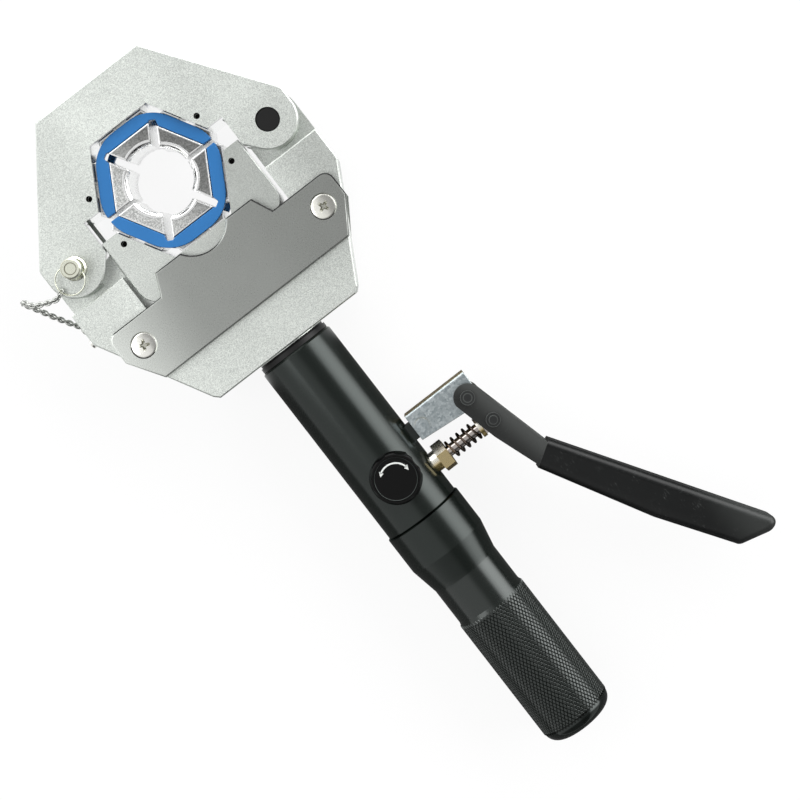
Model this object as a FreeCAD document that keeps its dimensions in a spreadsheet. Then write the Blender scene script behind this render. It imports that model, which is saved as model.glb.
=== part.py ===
# Hand-operated hydraulic hose crimper.
#
# The tool lies on its back: +Z is up, out of the front of the head, +Y runs from the
# handle to the top of the jaw, and +X is the side of the hinge and of the pump lever.
# The origin is the crimp axis of the open head, at the middle of its thickness.
# All lengths are in millimetres.
import FreeCAD, Part
import math
import os
import re
import Sketcher

doc = FreeCAD.newDocument("HoseCrimper")

# Driving dimensions. Each name is one size of the tool.
SIZES = {
    # Head as a whole
    "HeadThick": 40.0,
    "PinOffset": 61.0,
    "PinDrop": 8.8,
    "PinDia": 12.4,
    "PinFit": 0.06,
    "EarRound": 15.2,
    "EarGap": 16.0,
    "TongueSideGap": 0.25,
    "TongueRound": 16.0,
    "CeilingGap": 0.8,
    # Upper jaw
    "JawTop": 61.0,
    "JawTopHalf": 32.0,
    "JawShoulder": 0.4,
    "JawCornerRound": 4.0,
    "PartingHeight": 6.25,
    "PocketClear": 2.3,
    "EarThroat": 2.7,
    "EdgeBreak": 0.7,
    # Hexagonal die seat
    "HexFlats": 61.5,
    "RamTravel": 8.5,
    "PinHoleDia": 3.2,
    "PinHoleDeep": 6.0,
    "PinHoleOut": 34.0,
    "PinHoleUp": 14.2,
    # Dies
    "DieBore": 14.2,
    "DieMouth": 16.1,
    "DieBackHalf": 13.4,
    "DieShoulder": 26.6,
    "DieBodyThick": 28.0,
    "DieBossThick": 36.0,
    "DieBossFlat": 22.35,
    "DieFlankGap": 0.15,
    "DieSeatGap": 0.05,
    "DieSlide": 4.0,
    "DieSlotWide": 8.0,
    "DieSlotDeep": 1.2,
    # Plastic die keepers
    "KeeperInner": 22.65,
    "KeeperOuter": 29.4,
    "KeeperThick": 3.8,
    "KeeperRise": 0.2,
    "KeeperRound": 21.0,
    "KeeperSlit": 2.4,
    "NotchReach": 27.9,
    "NotchTip": 1.5,
    "NotchLip": 1.1,
    # Die block
    "BlockHalf": 42.9,
    "BlockTop": 7.6,
    "BlockSideGap": 0.3,
    "WingBend": 38.0,
    "WingTipHalf": 38.6,
    "WingTipDrop": 47.5,
    "WingEnd": 52.0,
    "StemHalf": 29.0,
    "StemEnd": 59.0,
    # Frame
    "SlotFloor": 70.0,
    "SlotFloorRound": 6.0,
    "Shoulder": 27.0,
    "TaperStart": 45.0,
    "TaperEndHalf": 45.5,
    "TaperEnd": 102.0,
    "FrameEnd": 104.7,
    "BossRadius": 19.2,
    "BossEnd": 106.2,
    # Covers
    "CoverThick": 4.0,
    "CoverTop": 46.7,
    "CoverHorn": 35.5,
    "CoverHornHalf": 30.2,
    "CoverFootHalf": 35.3,
    "ScoopRadius": 17.0,
    "ScoopCentre": 26.25,
    "CoverSideHalf": 69.3,
    "CoverSideRound": 5.0,
    "CoverBottom": 80.0,
    "CoverBottomHalf": 57.6,
    "ScrewOut": 56.5,
    "ScrewDrop": 60.5,
    "ScrewHead": 13.3,
    "ScrewShank": 6.0,
    "ScrewLong": 15.0,
    "ScrewDome": 0.8,
    "ScrewFoot": 0.2,
    "RecessDeep": 2.6,
    "RecessWide": 1.6,
    "RecessSpan": 6.2,
    # Ram
    "RamBore": 26.0,
    "RamFit": 0.06,
    "RodDia": 16.0,
    "PistonLong": 12.0,
    "RamEnd": 150.0,
    "SealWide": 3.0,
    "SealDeep": 2.0,
    "BushLong": 6.0,
    "BushTop": 86.0,
    "ReturnRadius": 10.5,
    "ReturnWire": 2.6,
    "ReturnTurns": 7.0,
    "ChamberLong": 2.0,
    # Cylinder tube
    "TubeRadius": 20.9,
    "TubeTop": 108.6,
    "TubeEnd": 214.3,
    "TubeChamfer": 1.2,
    "CollarRadius": 20.0,
    "SpigotRadius": 16.0,
    "SpigotTop": 84.0,
    "ThreadGap": 0.05,
    # Reservoir handle and its end
    "HandleStart": 214.6,
    "HandleRadius": 21.9,
    "ConeStart": 235.0,
    "NeckRadius": 18.85,
    "NeckStart": 250.0,
    "NeckEnd": 270.0,
    "KnurlRadius": 19.4,
    "KnurlStart": 272.2,
    "KnurlEnd": 341.8,
    "HandleBore": 16.0,
    "TailRadius": 15.5,
    "TailEnd": 227.0,
    "CapEnd": 352.5,
    "CapGap": 0.4,
    "CapRound": 6.5,
    "CapPlugDeep": 9.0,
    "BladderRadius": 14.5,
    "BladderEnd": 330.0,
    "BladderRound": 4.0,
    # Release knob
    "KnobRadius": 12.8,
    "KnobOut": 2.0,
    "KnobDrop": 190.0,
    "KnobTop": 24.5,
    "KnobSkirt": 16.2,
    "KnobSeat": 15.9,
    "KnobDisc": 11.2,
    "KnobDiscDeep": 0.5,
    "KnobScallop": 9.0,
    "ScallopDeep": 0.9,
    "KnobLobes": 8,
    "KnobEdge": 0.8,
    "KnobPocket": 13.5,
    "SpindleRadius": 3.5,
    "SpindleEnd": 2.0,
    # Pump
    "PumpDrop": 197.6,
    "PlungerDia": 6.0,
    "PlungerFit": 0.06,
    "PlungerIn": 2.0,
    "PumpBoreIn": 9.0,
    "GlandShankRadius": 5.5,
    "GlandShankIn": 11.0,
    "GlandCollarEnd": 24.0,
    "GlandHexFlats": 14.4,
    "GlandHexEnd": 30.0,
    "PumpSeatFlat": 19.2,
    "SeatGap": 1.0,
    "PumpSpringRadius": 4.7,
    "SpringWire": 1.2,
    "SpringTurns": 5.0,
    "SpringEnd": 49.2,
    "RetainerRadius": 5.6,
    "RetainerThick": 2.2,
    "EyeThick": 6.0,
    "EyeHigh": 9.0,
    "EyePinX": 58.2,
    "EyePinDia": 4.5,
    "EyePinGap": 0.1,
    "WasherRadius": 3.8,
    "WasherThick": 0.8,
    "EyeSlotRun": 0.75,
    # Lever linkage
    "PivotX": 54.7,
    "PivotDrop": 180.9,
    "PivotDia": 5.0,
    "LinkWebTop": 169.0,
    "LinkSheet": 2.0,
    "LinkHalf": 8.2,
    "LinkStart": 23.5,
    "LinkBottom": 184.2,
    "LinkEndRound": 6.0,
    "LinkBend": 1.6,
    "LugPinX": 28.0,
    "LugPinDrop": 178.0,
    "LugPinDia": 5.0,
    "LugHalf": 6.0,
    "LugRound": 4.5,
    "LeverSheet": 2.2,
    "LeverHalf": 10.8,
    "LeverEyeRound": 7.2,
    "KneeIn": 1.1,
    "KneeDown": 24.3,
    "BendOut": 13.15,
    "BendDown": 46.1,
    "WebDown": 10.1,
    "TangHalf": 7.6,
    "TangLong": 95.0,
    # Grip, measured along and across the tang from the lever's bend
    "GripTilt": 32.7,
    "GripHalf": 10.6,
    "GripMouthHalf": 7.9,
    "GripWall": 1.65,
    "GripBellyAlong": 63.5,
    "GripBellyDeep": 11.7,
    "GripToeAlong": 110.9,
    "GripToeDeep": 9.2,
    "GripTipAlong": 123.4,
    "GripTipIn": 3.2,
    "GripNoseBack": 6.6,
    "GripToeRound": 5.0,
    "GripTipRound": 4.2,
    "GripRound": 4.0,
    # Lock pin, ring and chain
    "LockShank": 12.2,
    "LockNeck": 8.0,
    "LockHead": 10.4,
    "LockTop": 32.0,
    "LockHeadLong": 5.0,
    "LockDimple": 2.9,
    "LockShoulder": 20.8,
    "LockTip": 21.5,
    "LockTipCone": 2.0,
    "RingHoleHeight": 24.0,
    "RingHoleDia": 1.9,
    "RingRadius": 7.5,
    "RingWire": 1.1,
    "RingTilt": 6.0,
    "RingReach": 6.2,
    "RingBearing": 217.0,
    "ChainWire": 1.0,
    "ChainLinkLong": 4.6,
    "ChainLinkWide": 3.2,
    "LinkPlay": 0.08,
    "ChainBearing": 195.0,
    "AnchorDrop": 43.0,
    "AnchorHead": 5.0,
    "AnchorLong": 8.0,
    "AnchorNeck": 1.7,
    "EyeletThick": 0.9,
    "EyeletRim": 0.9,
    "EyeletReach": 3.6,
}

sheet = doc.addObject("Spreadsheet::Sheet", "Sizes")
for row, (alias, value) in enumerate(SIZES.items(), start=1):
    sheet.set("A%d" % row, alias)
    sheet.set("B%d" % row, str(value))
    sheet.setAlias("B%d" % row, alias)
doc.recompute()


def ref(text):
    """Turn size names in a formula into references to the sheet."""
    return re.sub(r"\b([A-Z][A-Za-z]+)\b", r"Sizes.\1", text)


def val(text):
    """Work out a formula of size names as a plain number."""
    return float(sheet.evalExpression(ref(str(text))))


def new_body(name):
    body = doc.addObject("PartDesign::Body", "Body_" + name)
    body.Label = name
    return body


def plane(body, role):
    for feature in body.Origin.OriginFeatures:
        if feature.Role == role:
            return feature
    raise ValueError(role)


def new_sketch(body, role="XY_Plane", offset=None):
    """A sketch on one of the body's own planes, raised by a formula."""
    sketch = body.newObject("Sketcher::SketchObject", body.Label + "_sketch")
    sketch.AttachmentSupport = [(plane(body, role), "")]
    sketch.MapMode = "FlatFace"
    if offset is not None:
        sketch.setExpression("AttachmentOffset.Base.z", ref(offset))
    return sketch


def apply_rules(sketch, rules):
    """Add constraints in one go, then bind each to its formula."""
    first = sketch.ConstraintCount
    sketch.addConstraint([rule for rule, _text in rules])
    for i, (_rule, text) in enumerate(rules):
        if text is not None:
            sketch.setExpression("Constraints[%d]" % (first + i), ref(text))


def held(geo, which, x_text, y_text):
    """Rules that hold a point of the sketch at a place given by two formulas."""
    return [(Sketcher.Constraint("DistanceX", -1, 1, geo, which, val(x_text)), x_text),
            (Sketcher.Constraint("DistanceY", -1, 1, geo, which, val(y_text)), y_text)]


def outline(sketch, points):
    """A closed outline. Each point is (x, y) or (x, y, radius, turn).

    The radius is that of the arc that leaves the point, and turn is +1 for an arc
    that runs anticlockwise and -1 for one that runs clockwise.
    """
    count = len(points)
    places = [FreeCAD.Vector(val(point[0]), val(point[1]), 0) for point in points]
    edges = []
    for i, point in enumerate(points):
        a = places[i]
        b = places[(i + 1) % count]
        if len(point) == 2:
            edges.append((sketch.addGeometry(Part.LineSegment(a, b)), 1, 2))
            continue
        radius = val(point[2])
        half = (b - a).Length / 2
        across = FreeCAD.Vector(-(b - a).y, (b - a).x, 0).normalize()
        centre = (a + b) * 0.5 + across * (math.sqrt(max(radius ** 2 - half ** 2, 0)) * point[3])
        start = math.atan2(a.y - centre.y, a.x - centre.x)
        end = math.atan2(b.y - centre.y, b.x - centre.x)
        circle = Part.Circle(centre, FreeCAD.Vector(0, 0, 1), radius)
        if point[3] > 0:
            edges.append((sketch.addGeometry(Part.ArcOfCircle(circle, start, end)), 1, 2))
        else:
            edges.append((sketch.addGeometry(Part.ArcOfCircle(circle, end, start)), 2, 1))
    rules = []
    for i, (geo, first, last) in enumerate(edges):
        after = edges[(i + 1) % count]
        rules.append((Sketcher.Constraint("Coincident", geo, last, after[0], after[1]), None))
        rules += held(geo, first, points[i][0], points[i][1])
        if len(points[i]) > 2:
            rules.append((Sketcher.Constraint("Radius", geo, val(points[i][2])), points[i][2]))
    apply_rules(sketch, rules)
    return sketch


def ring_outline(sketch, x_text, y_text, radius_text):
    """A full circle in a sketch."""
    centre = FreeCAD.Vector(val(x_text), val(y_text), 0)
    geo = sketch.addGeometry(Part.Circle(centre, FreeCAD.Vector(0, 0, 1), val(radius_text)))
    rules = held(geo, 3, x_text, y_text)
    rules.append((Sketcher.Constraint("Radius", geo, val(radius_text)), radius_text))
    apply_rules(sketch, rules)
    return sketch


def axis_line(sketch, x_text, low_text, high_text):
    """A construction line parallel to the sketch's upright axis, to turn a profile about."""
    a = FreeCAD.Vector(val(x_text), val(low_text), 0)
    b = FreeCAD.Vector(val(x_text), val(high_text), 0)
    geo = sketch.addGeometry(Part.LineSegment(a, b), True)
    apply_rules(sketch, held(geo, 1, x_text, low_text) + held(geo, 2, x_text, high_text))


def both_sides(right):
    """Right-hand outline points, followed by their mirror image in reverse order."""
    left = []
    for i in range(len(right) - 1, -1, -1):
        arc = right[i - 1][2:] if i else ()
        left.append(("-(" + right[i][0] + ")", right[i][1]) + tuple(arc))
    return right + left


def add_pad(body, sketch, length, both=True):
    pad = body.newObject("PartDesign::Pad", body.Label + "_pad")
    pad.Profile = sketch
    pad.setExpression("Length", ref(length))
    pad.Midplane = both
    doc.recompute()
    return pad


def add_pocket(body, sketch, length=None, both=True, up=False):
    """Cut a sketch out of the body, right through where no length is given."""
    doc.recompute()
    before = body.Shape.Volume
    pocket = body.newObject("PartDesign::Pocket", body.Label + "_pocket")
    pocket.Profile = sketch
    if length is None:
        pocket.Type = 1
    else:
        pocket.setExpression("Length", ref(length))
    pocket.Midplane = both
    pocket.Reversed = up
    doc.recompute()
    if before - body.Shape.Volume < 1e-3:
        raise RuntimeError(body.Label + ": a cut takes nothing away")
    return pocket


def add_turned(body, sketch, kind, axis="V_Axis"):
    """Revolve or groove a sketch about one of its own axes."""
    doc.recompute()
    before = body.Shape.Volume if kind == "Groove" else 0
    turned = body.newObject("PartDesign::" + kind, body.Label + "_" + kind.lower())
    turned.Profile = sketch
    turned.ReferenceAxis = (sketch, [axis])
    turned.Angle = 360
    doc.recompute()
    if kind == "Groove" and before - body.Shape.Volume < 1e-3:
        raise RuntimeError(body.Label + ": a groove takes nothing away")
    return turned


def find_edges(shape, test):
    return ["Edge%d" % (i + 1) for i, edge in enumerate(shape.Edges) if test(edge)]


def dress(body, kind, size, test):
    """Fillet or chamfer the edges of the body that pass a test."""
    doc.recompute()
    names = find_edges(body.Shape, test)
    if not names:
        raise RuntimeError(body.Label + ": no edge to dress")
    base = body.Tip
    feature = body.newObject("PartDesign::" + kind, body.Label + "_" + kind.lower())
    feature.Base = (base, names)
    feature.setExpression("Radius" if kind == "Fillet" else "Size", ref(size))
    doc.recompute()
    return feature


def upright_at(x_text, y_text):
    """A test for edges parallel to Z at a place on both sides of the middle."""
    x = val(x_text)
    y = val(y_text)

    def test(edge):
        a = edge.Vertexes[0].Point
        b = edge.Vertexes[-1].Point
        if (a - b).Length < 0.5 or abs(a.x - b.x) + abs(a.y - b.y) > 1e-4:
            return False
        return abs(abs(a.x) - x) < 0.02 and abs(a.y - y) < 0.02
    return test


NODES = {}


def keep(obj):
    """List a finished sub-part under its name."""
    NODES[obj.Label] = obj
    return obj


# Formulas that several sub-parts share.
APOTHEM = "(HexFlats / 2)"
LIFT = "(RamTravel / 2)"
POCKET_SIDE = "(PinOffset - EarRound - PocketClear)"
JAW_SIDE = "(PinOffset + EarRound)"
SLOT_SIDE = "(PinOffset - TongueRound)"
FRAME_SIDE = "(PinOffset + TongueRound)"
FACE = "(HeadThick / 2)"
BORE = "(RamBore / 2 + RamFit)"


def bored_pairs(body, x_text, y_text, radius, depth=None, face=None):
    """Holes at plus and minus X: right through, or blind from both faces of a plate."""
    if depth is None:
        holes = new_sketch(body)
        for side in ("", "-"):
            ring_outline(holes, side + x_text, y_text, radius)
        add_pocket(body, holes)
        return
    for sign, up in (("", False), ("-", True)):
        holes = new_sketch(body, offset=sign + face)
        for side in ("", "-"):
            ring_outline(holes, side + x_text, y_text, radius)
        add_pocket(body, holes, depth, both=False, up=up)


def upper_jaw():
    """One thick plate with a half hexagon below and a forked ear at each end."""
    body = new_body("upper_jaw")
    slope = "((PartingHeight - RamTravel / 2) / tan(60))"
    gap = "(EarRound + PocketClear)"
    reach = "sqrt(" + gap + "^2 + EarThroat^2)"
    touch = "(180 deg + atan(EarThroat / " + gap + ") + acos(EarRound / " + reach + "))"
    right = [
        (APOTHEM + " * tan(30)", LIFT + " + " + APOTHEM),
        (APOTHEM + " / cos(30) - " + slope, "PartingHeight"),
        (POCKET_SIDE, "PartingHeight"),
        (POCKET_SIDE, "-PinDrop - EarThroat"),
        ("PinOffset + EarRound * cos(" + touch + ")",
         "-PinDrop + EarRound * sin(" + touch + ")", "EarRound", 1),
        (JAW_SIDE, "-PinDrop"),
        (JAW_SIDE, "JawShoulder"),
        ("JawTopHalf", "JawTop"),
    ]
    add_pad(body, outline(new_sketch(body), both_sides(right)), "HeadThick")
    slot = new_sketch(body)
    near = "(" + POCKET_SIDE + " - 1)"
    far = "(" + JAW_SIDE + " + 5)"
    ceiling = "TongueRound + CeilingGap - PinDrop"
    below = "-PinDrop - EarRound - 5"
    for side in ("", "-"):
        outline(slot, [(side + near, below), (side + far, below),
                       (side + far, ceiling), (side + near, ceiling)])
    add_pocket(body, slot, "EarGap")
    dress(body, "Fillet", "JawCornerRound", upright_at(JAW_SIDE, "JawShoulder"))
    bored_pairs(body, "PinOffset", "-PinDrop", "PinDia / 2 + PinFit")
    bored_pairs(body, "PinHoleOut", "PinHoleUp", "PinHoleDia / 2", "PinHoleDeep", FACE)
    half = val(FACE)
    cavity_top = val(LIFT) + val(APOTHEM)
    pocket_side = val(POCKET_SIDE)

    def outer_rim(edge):
        box = edge.BoundBox
        if box.ZLength > 1e-4 or abs(abs(box.ZMax) - half) > 1e-3:
            return False
        if edge.Curve.TypeId == "Part::GeomCircle":
            return edge.Curve.Radius > val("PinDia")
        outside = min(abs(box.XMin), abs(box.XMax)) > pocket_side + 1
        return outside or box.YMin > cavity_top + 1
    dress(body, "Chamfer", "EdgeBreak", outer_rim)
    return keep(body)


def die_block():
    """Moving half of the die seat: a half hexagon on a stem, with a wing at each side."""
    body = new_body("die_block")
    slope = "((BlockTop - RamTravel / 2) / tan(60))"
    lean = "(BlockHalf - WingTipHalf)"
    drop = "(WingTipDrop - WingBend)"
    right = [
        ("StemHalf", "-StemEnd"),
        ("StemHalf", "-WingEnd"),
        ("WingTipHalf", "-WingEnd"),
        ("WingTipHalf", "-WingTipDrop", "(" + lean + "^2 + " + drop + "^2) / 2 / " + lean, 1),
        ("BlockHalf", "-WingBend"),
        ("BlockHalf", "-BlockTop"),
        (APOTHEM + " / cos(30) - " + slope, "-BlockTop"),
        (APOTHEM + " * tan(30)", "-" + LIFT + " - " + APOTHEM),
    ]
    add_pad(body, outline(new_sketch(body), both_sides(right)), "HeadThick - 2 * BlockSideGap")
    face = "(HeadThick / 2 - BlockSideGap)"
    bored_pairs(body, "PinHoleOut", "-PinHoleUp", "PinHoleDia / 2", "PinHoleDeep", face)
    half = val(face)
    tip = val("WingTipHalf")
    top = -val("BlockTop")

    def wing_rim(edge):
        box = edge.BoundBox
        if box.ZLength > 1e-4 or abs(abs(box.ZMax) - half) > 1e-3 or box.YMax > top + 0.01:
            return False
        return min(abs(box.XMin), abs(box.XMax)) > tip - 0.01
    dress(body, "Chamfer", "EdgeBreak / 2", wing_rim)
    return keep(body)


def die(name, bearing, lift, slide):
    """One of six dies. The bearing is the way it faces from the middle of its half hexagon."""
    body = new_body(name)
    seat = "(HexFlats / 2 - DieSeatGap)"
    flank = "(DieFlankGap / cos(30))"
    shoulder = "(DieShoulder * tan(30) - " + flank + ")"
    bore_angle = "(60 deg + asin(DieFlankGap / DieBore))"
    bore_x = "(DieBore * cos(" + bore_angle + "))"
    bore_y = "DieBore * sin(" + bore_angle + ")"
    slot = "(DieSlotWide / 2)"
    section = [
        ("-" + bore_x, bore_y, "DieBore", -1),
        (bore_x, bore_y),
        (shoulder, "DieShoulder"),
        ("DieBackHalf", seat),
        (slot, seat),
        (slot, seat + " - DieSlotDeep"),
        ("-" + slot, seat + " - DieSlotDeep"),
        ("-" + slot, seat),
        ("-DieBackHalf", seat),
        ("-" + shoulder, "DieShoulder"),
    ]
    add_pad(body, outline(new_sketch(body), section), "DieBodyThick")
    boss_x = "(DieBossFlat * tan(30) - " + flank + ")"
    boss = [
        ("-" + bore_x, bore_y, "DieBore", -1),
        (bore_x, bore_y),
        (boss_x, "DieBossFlat"),
        ("-" + boss_x, "DieBossFlat"),
    ]
    add_pad(body, outline(new_sketch(body), boss), "DieBossThick")
    for side in (1, -1):
        mouth = new_sketch(body, "YZ_Plane")
        face = "%d * DieBossThick / 2" % side
        depth = "%d * (DieBossThick / 2 - (DieMouth - DieBore))" % side
        outline(mouth, [("0", face), ("DieMouth", face), ("DieBore", depth), ("0", depth)])
        add_turned(body, mouth, "Groove")
    turn = bearing - 90
    angle = math.radians(turn)
    run = slide * val("DieSlide")
    body.Placement = FreeCAD.Placement(
        FreeCAD.Vector(run * math.cos(angle), val(lift) + run * math.sin(angle), 0),
        FreeCAD.Rotation(FreeCAD.Vector(0, 0, 1), turn))
    return keep(body)


def keeper(name, up, front):
    """Half of a plastic ring that holds three dies, notched at the corners where it bends."""
    body = new_body(name)
    run_x = "DieSlide / 2"
    run_y = "DieSlide * cos(30)"
    tangent = "(KeeperRound * tan(30))"
    corner_x = "(KeeperOuter * tan(30))"
    side_x = "(KeeperOuter / cos(30))"
    end_y = "(KeeperSlit / 2 - RamTravel / 2)"
    round_x = "(" + side_x + " - KeeperRound / cos(30) + " + run_x + ")"
    end_out = "(" + round_x + " + sqrt(KeeperRound^2 - (" + end_y + " + " + run_y + ")^2))"
    end_in = "((KeeperInner - " + end_y + " / 2) / cos(30))"
    tip_x = "(NotchReach * cos(60) + DieSlide / 4)"
    tip_y = "(NotchReach * sin(60) - DieSlide * cos(30) / 2)"
    mouth = "(KeeperInner * tan(30) - NotchLip)"
    far_mouth = "(KeeperInner * tan(30) - NotchLip - DieSlide)"
    right = [
        (mouth, "KeeperInner"),
        ("(" + tip_x + " - NotchTip * cos(30))", tip_y + " + NotchTip * sin(30)"),
        ("(" + tip_x + " + NotchTip * cos(30))", tip_y + " - NotchTip * sin(30)"),
        ("(KeeperInner * cos(30) - " + far_mouth + " * cos(60))",
         "KeeperInner * sin(30) + " + far_mouth + " * sin(60)"),
        (end_in, end_y),
        (end_out, end_y, "KeeperRound", 1),
        ("(" + side_x + " - " + tangent + " / 2 + " + run_x + ")", tangent + " * cos(30) - " + run_y),
        ("(" + corner_x + " + " + tangent + " / 2)",
         "KeeperOuter - " + tangent + " * cos(30)", "KeeperRound", 1),
        ("(" + corner_x + " - " + tangent + ")", "KeeperOuter"),
    ]
    add_pad(body, outline(new_sketch(body), both_sides(right)), "KeeperThick", both=False)
    spin = FreeCAD.Rotation(FreeCAD.Vector(0, 0, 1), 0 if up else 180)
    flip = FreeCAD.Rotation(FreeCAD.Vector(0, 1, 0), 0 if front else 180)
    lift = val(LIFT) * (1 if up else -1)
    rise = val("DieBodyThick / 2 + KeeperRise") * (1 if front else -1)
    body.Placement = FreeCAD.Placement(FreeCAD.Vector(0, lift, rise), spin.multiply(flip))
    return keep(body)


def frame_body():
    """Forked steel frame: two tongues, a slot for the die block and a seat for the tube."""
    body = new_body("frame_body")
    right = [
        (SLOT_SIDE, "-SlotFloor"),
        (SLOT_SIDE, "-PinDrop", "TongueRound", -1),
        ("PinOffset", "-PinDrop + TongueRound", "TongueRound", -1),
        (FRAME_SIDE, "-PinDrop"),
        (FRAME_SIDE, "-TaperStart"),
        ("TaperEndHalf", "-TaperEnd"),
        ("(TaperEndHalf - (FrameEnd - TaperEnd))", "-FrameEnd"),
    ]
    add_pad(body, outline(new_sketch(body), both_sides(right)), "HeadThick")
    dress(body, "Fillet", "SlotFloorRound", upright_at(SLOT_SIDE, "-SlotFloor"))
    dress(body, "Fillet", "JawCornerRound", upright_at(FRAME_SIDE, "-TaperStart"))
    for sign, up in (("", True), ("-", False)):
        step = new_sketch(body, offset=sign + "(EarGap / 2 - TongueSideGap)")
        for side in ("", "-"):
            near = side + "(" + SLOT_SIDE + " - 1)"
            far = side + "(" + FRAME_SIDE + " + 1)"
            outline(step, [(near, "-Shoulder"), (far, "-Shoulder"),
                           (far, "TongueRound"), (near, "TongueRound")])
        add_pocket(body, step, "HeadThick", both=False, up=up)
    half = val(FACE)
    slot_side = val(SLOT_SIDE)
    end = -val("FrameEnd")

    def outer_rim(edge):
        box = edge.BoundBox
        if box.ZLength > 1e-4 or abs(abs(box.ZMax) - half) > 1e-3:
            return False
        return abs(box.Center.x) > slot_side + 1 or box.YMax < end + 3
    dress(body, "Chamfer", "EdgeBreak", outer_rim)
    bored_pairs(body, "PinOffset", "-PinDrop", "PinDia / 2 + PinFit")
    boss = new_sketch(body, "XZ_Plane", offset="FrameEnd")
    ring_outline(boss, "0", "0", "BossRadius")
    add_pad(body, boss, "BossEnd - FrameEnd", both=False)
    bore = new_sketch(body)
    outline(bore, [("0", "-BossEnd - 1"), ("SpigotRadius + ThreadGap", "-BossEnd - 1"),
                   ("SpigotRadius + ThreadGap", "-SlotFloor + 1"), ("0", "-SlotFloor + 1")])
    add_turned(body, bore, "Groove")
    bored_pairs(body, "ScrewOut", "-ScrewDrop", "ScrewShank / 2 + ThreadGap",
                "ScrewLong + 1 - CoverThick", FACE)
    anchor = new_sketch(body, "YZ_Plane", offset="-" + FRAME_SIDE + " - 1")
    ring_outline(anchor, "-AnchorDrop", "0", "AnchorHead / 4 + ThreadGap")
    add_pocket(body, anchor, "AnchorLong + 1", both=False, up=True)
    return keep(body)


def cover(name, front):
    """Flat plate that closes the slot, with two horns and a round scoop over the die block."""
    body = new_body(name)
    right = [
        ("CoverBottomHalf", "-CoverBottom"),
        ("CoverSideHalf", "-CoverTop - 3.1 * CoverSideRound"),
        ("CoverSideHalf", "-CoverTop - CoverSideRound", "CoverSideRound", 1),
        ("(CoverSideHalf - CoverSideRound)", "-CoverTop"),
        ("CoverFootHalf", "-CoverTop"),
        ("CoverHornHalf", "-CoverHorn"),
        ("sqrt(ScoopRadius^2 - (CoverHorn - ScoopCentre)^2)", "-CoverHorn", "ScoopRadius", -1),
    ]
    left = both_sides(right)[len(right):]
    points = right + [("0", "-ScoopCentre - ScoopRadius", "ScoopRadius", -1)] + left
    add_pad(body, outline(new_sketch(body), points), "CoverThick", both=False)
    top = val("CoverThick")
    dress(body, "Chamfer", "EdgeBreak",
          lambda edge: edge.BoundBox.ZLength < 1e-4 and abs(edge.BoundBox.ZMax - top) < 1e-3)
    wall = "(ScrewShank / 2 + ThreadGap)"
    rim = "(ScrewHead / 2 + ThreadGap)"
    ledge = "CoverThick - ScrewDome"
    for side in (1, -1):
        seat = new_sketch(body, "XZ_Plane", offset="ScrewDrop")
        centre = "%d * ScrewOut" % side
        outline(seat, [(centre, "CoverThick + 1"), (centre + " + " + rim, "CoverThick + 1"),
                       (centre + " + " + rim, ledge), (centre + " + " + wall, "ScrewFoot"),
                       (centre + " + " + wall, "-1"), (centre, "-1")])
        axis_line(seat, centre, "-5", "10")
        add_turned(body, seat, "Groove", "Axis0")
    height = val(FACE) * (1 if front else -1)
    flip = FreeCAD.Rotation(FreeCAD.Vector(0, 1, 0), 0 if front else 180)
    body.Placement = FreeCAD.Placement(FreeCAD.Vector(0, 0, height), flip)
    return keep(body)


def turned_piece(name, profile, role="XY_Plane", place=None, axis="V_Axis"):
    """A round piece turned from a half profile."""
    body = new_body(name)
    add_turned(body, outline(new_sketch(body, role), profile), "Revolution", axis)
    if place is not None:
        body.Placement = FreeCAD.Placement(FreeCAD.Vector(*place), FreeCAD.Rotation())
    return keep(body)


def cover_screws():
    """Four raised countersunk screws with a cross recess."""
    head = val("ScrewHead") / 2
    shank = val("ScrewShank") / 2
    top = val("CoverThick")
    rim = top - val("ScrewDome")
    foot = top - val("ScrewLong")
    dome = Part.Arc(FreeCAD.Vector(head, 0, rim), FreeCAD.Vector(head * 0.55, 0, rim + 0.72 * (top - rim)),
                    FreeCAD.Vector(0, 0, top)).toShape()
    corners = [(0, top), (0, foot), (shank, foot), (shank, val("ScrewFoot")), (head, rim)]
    points = [FreeCAD.Vector(x, 0, z) for x, z in corners]
    edges = [Part.makeLine(a, b) for a, b in zip(points, points[1:])] + [dome]
    solid = Part.Face(Part.Wire(edges)).revolve(FreeCAD.Vector(), FreeCAD.Vector(0, 0, 1), 360)
    solid = Part.makeSolid(solid) if solid.ShapeType != "Solid" else solid
    wide = val("RecessWide")
    span = val("RecessSpan")
    deep = val("RecessDeep")
    for along, across in ((span, wide), (wide, span)):
        corner = FreeCAD.Vector(-along / 2, -across / 2, top - deep)
        solid = solid.cut(Part.makeBox(along, across, 2 * deep, corner))
    turns = {1: 25, -1: -50}
    screws = []
    for face in (1, -1):
        for side in (1, -1):
            screw = solid.copy()
            screw.rotate(FreeCAD.Vector(), FreeCAD.Vector(0, 0, 1), turns[side])
            if face < 0:
                screw.rotate(FreeCAD.Vector(), FreeCAD.Vector(0, 1, 0), 180)
            screw.translate(FreeCAD.Vector(side * val("ScrewOut"), -val("ScrewDrop"), face * val(FACE)))
            screws.append(screw)
    group = doc.addObject("Part::Feature", "cover_screws")
    group.Label = "cover_screws"
    group.Shape = Part.makeCompound(screws)
    return keep(group)


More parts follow.
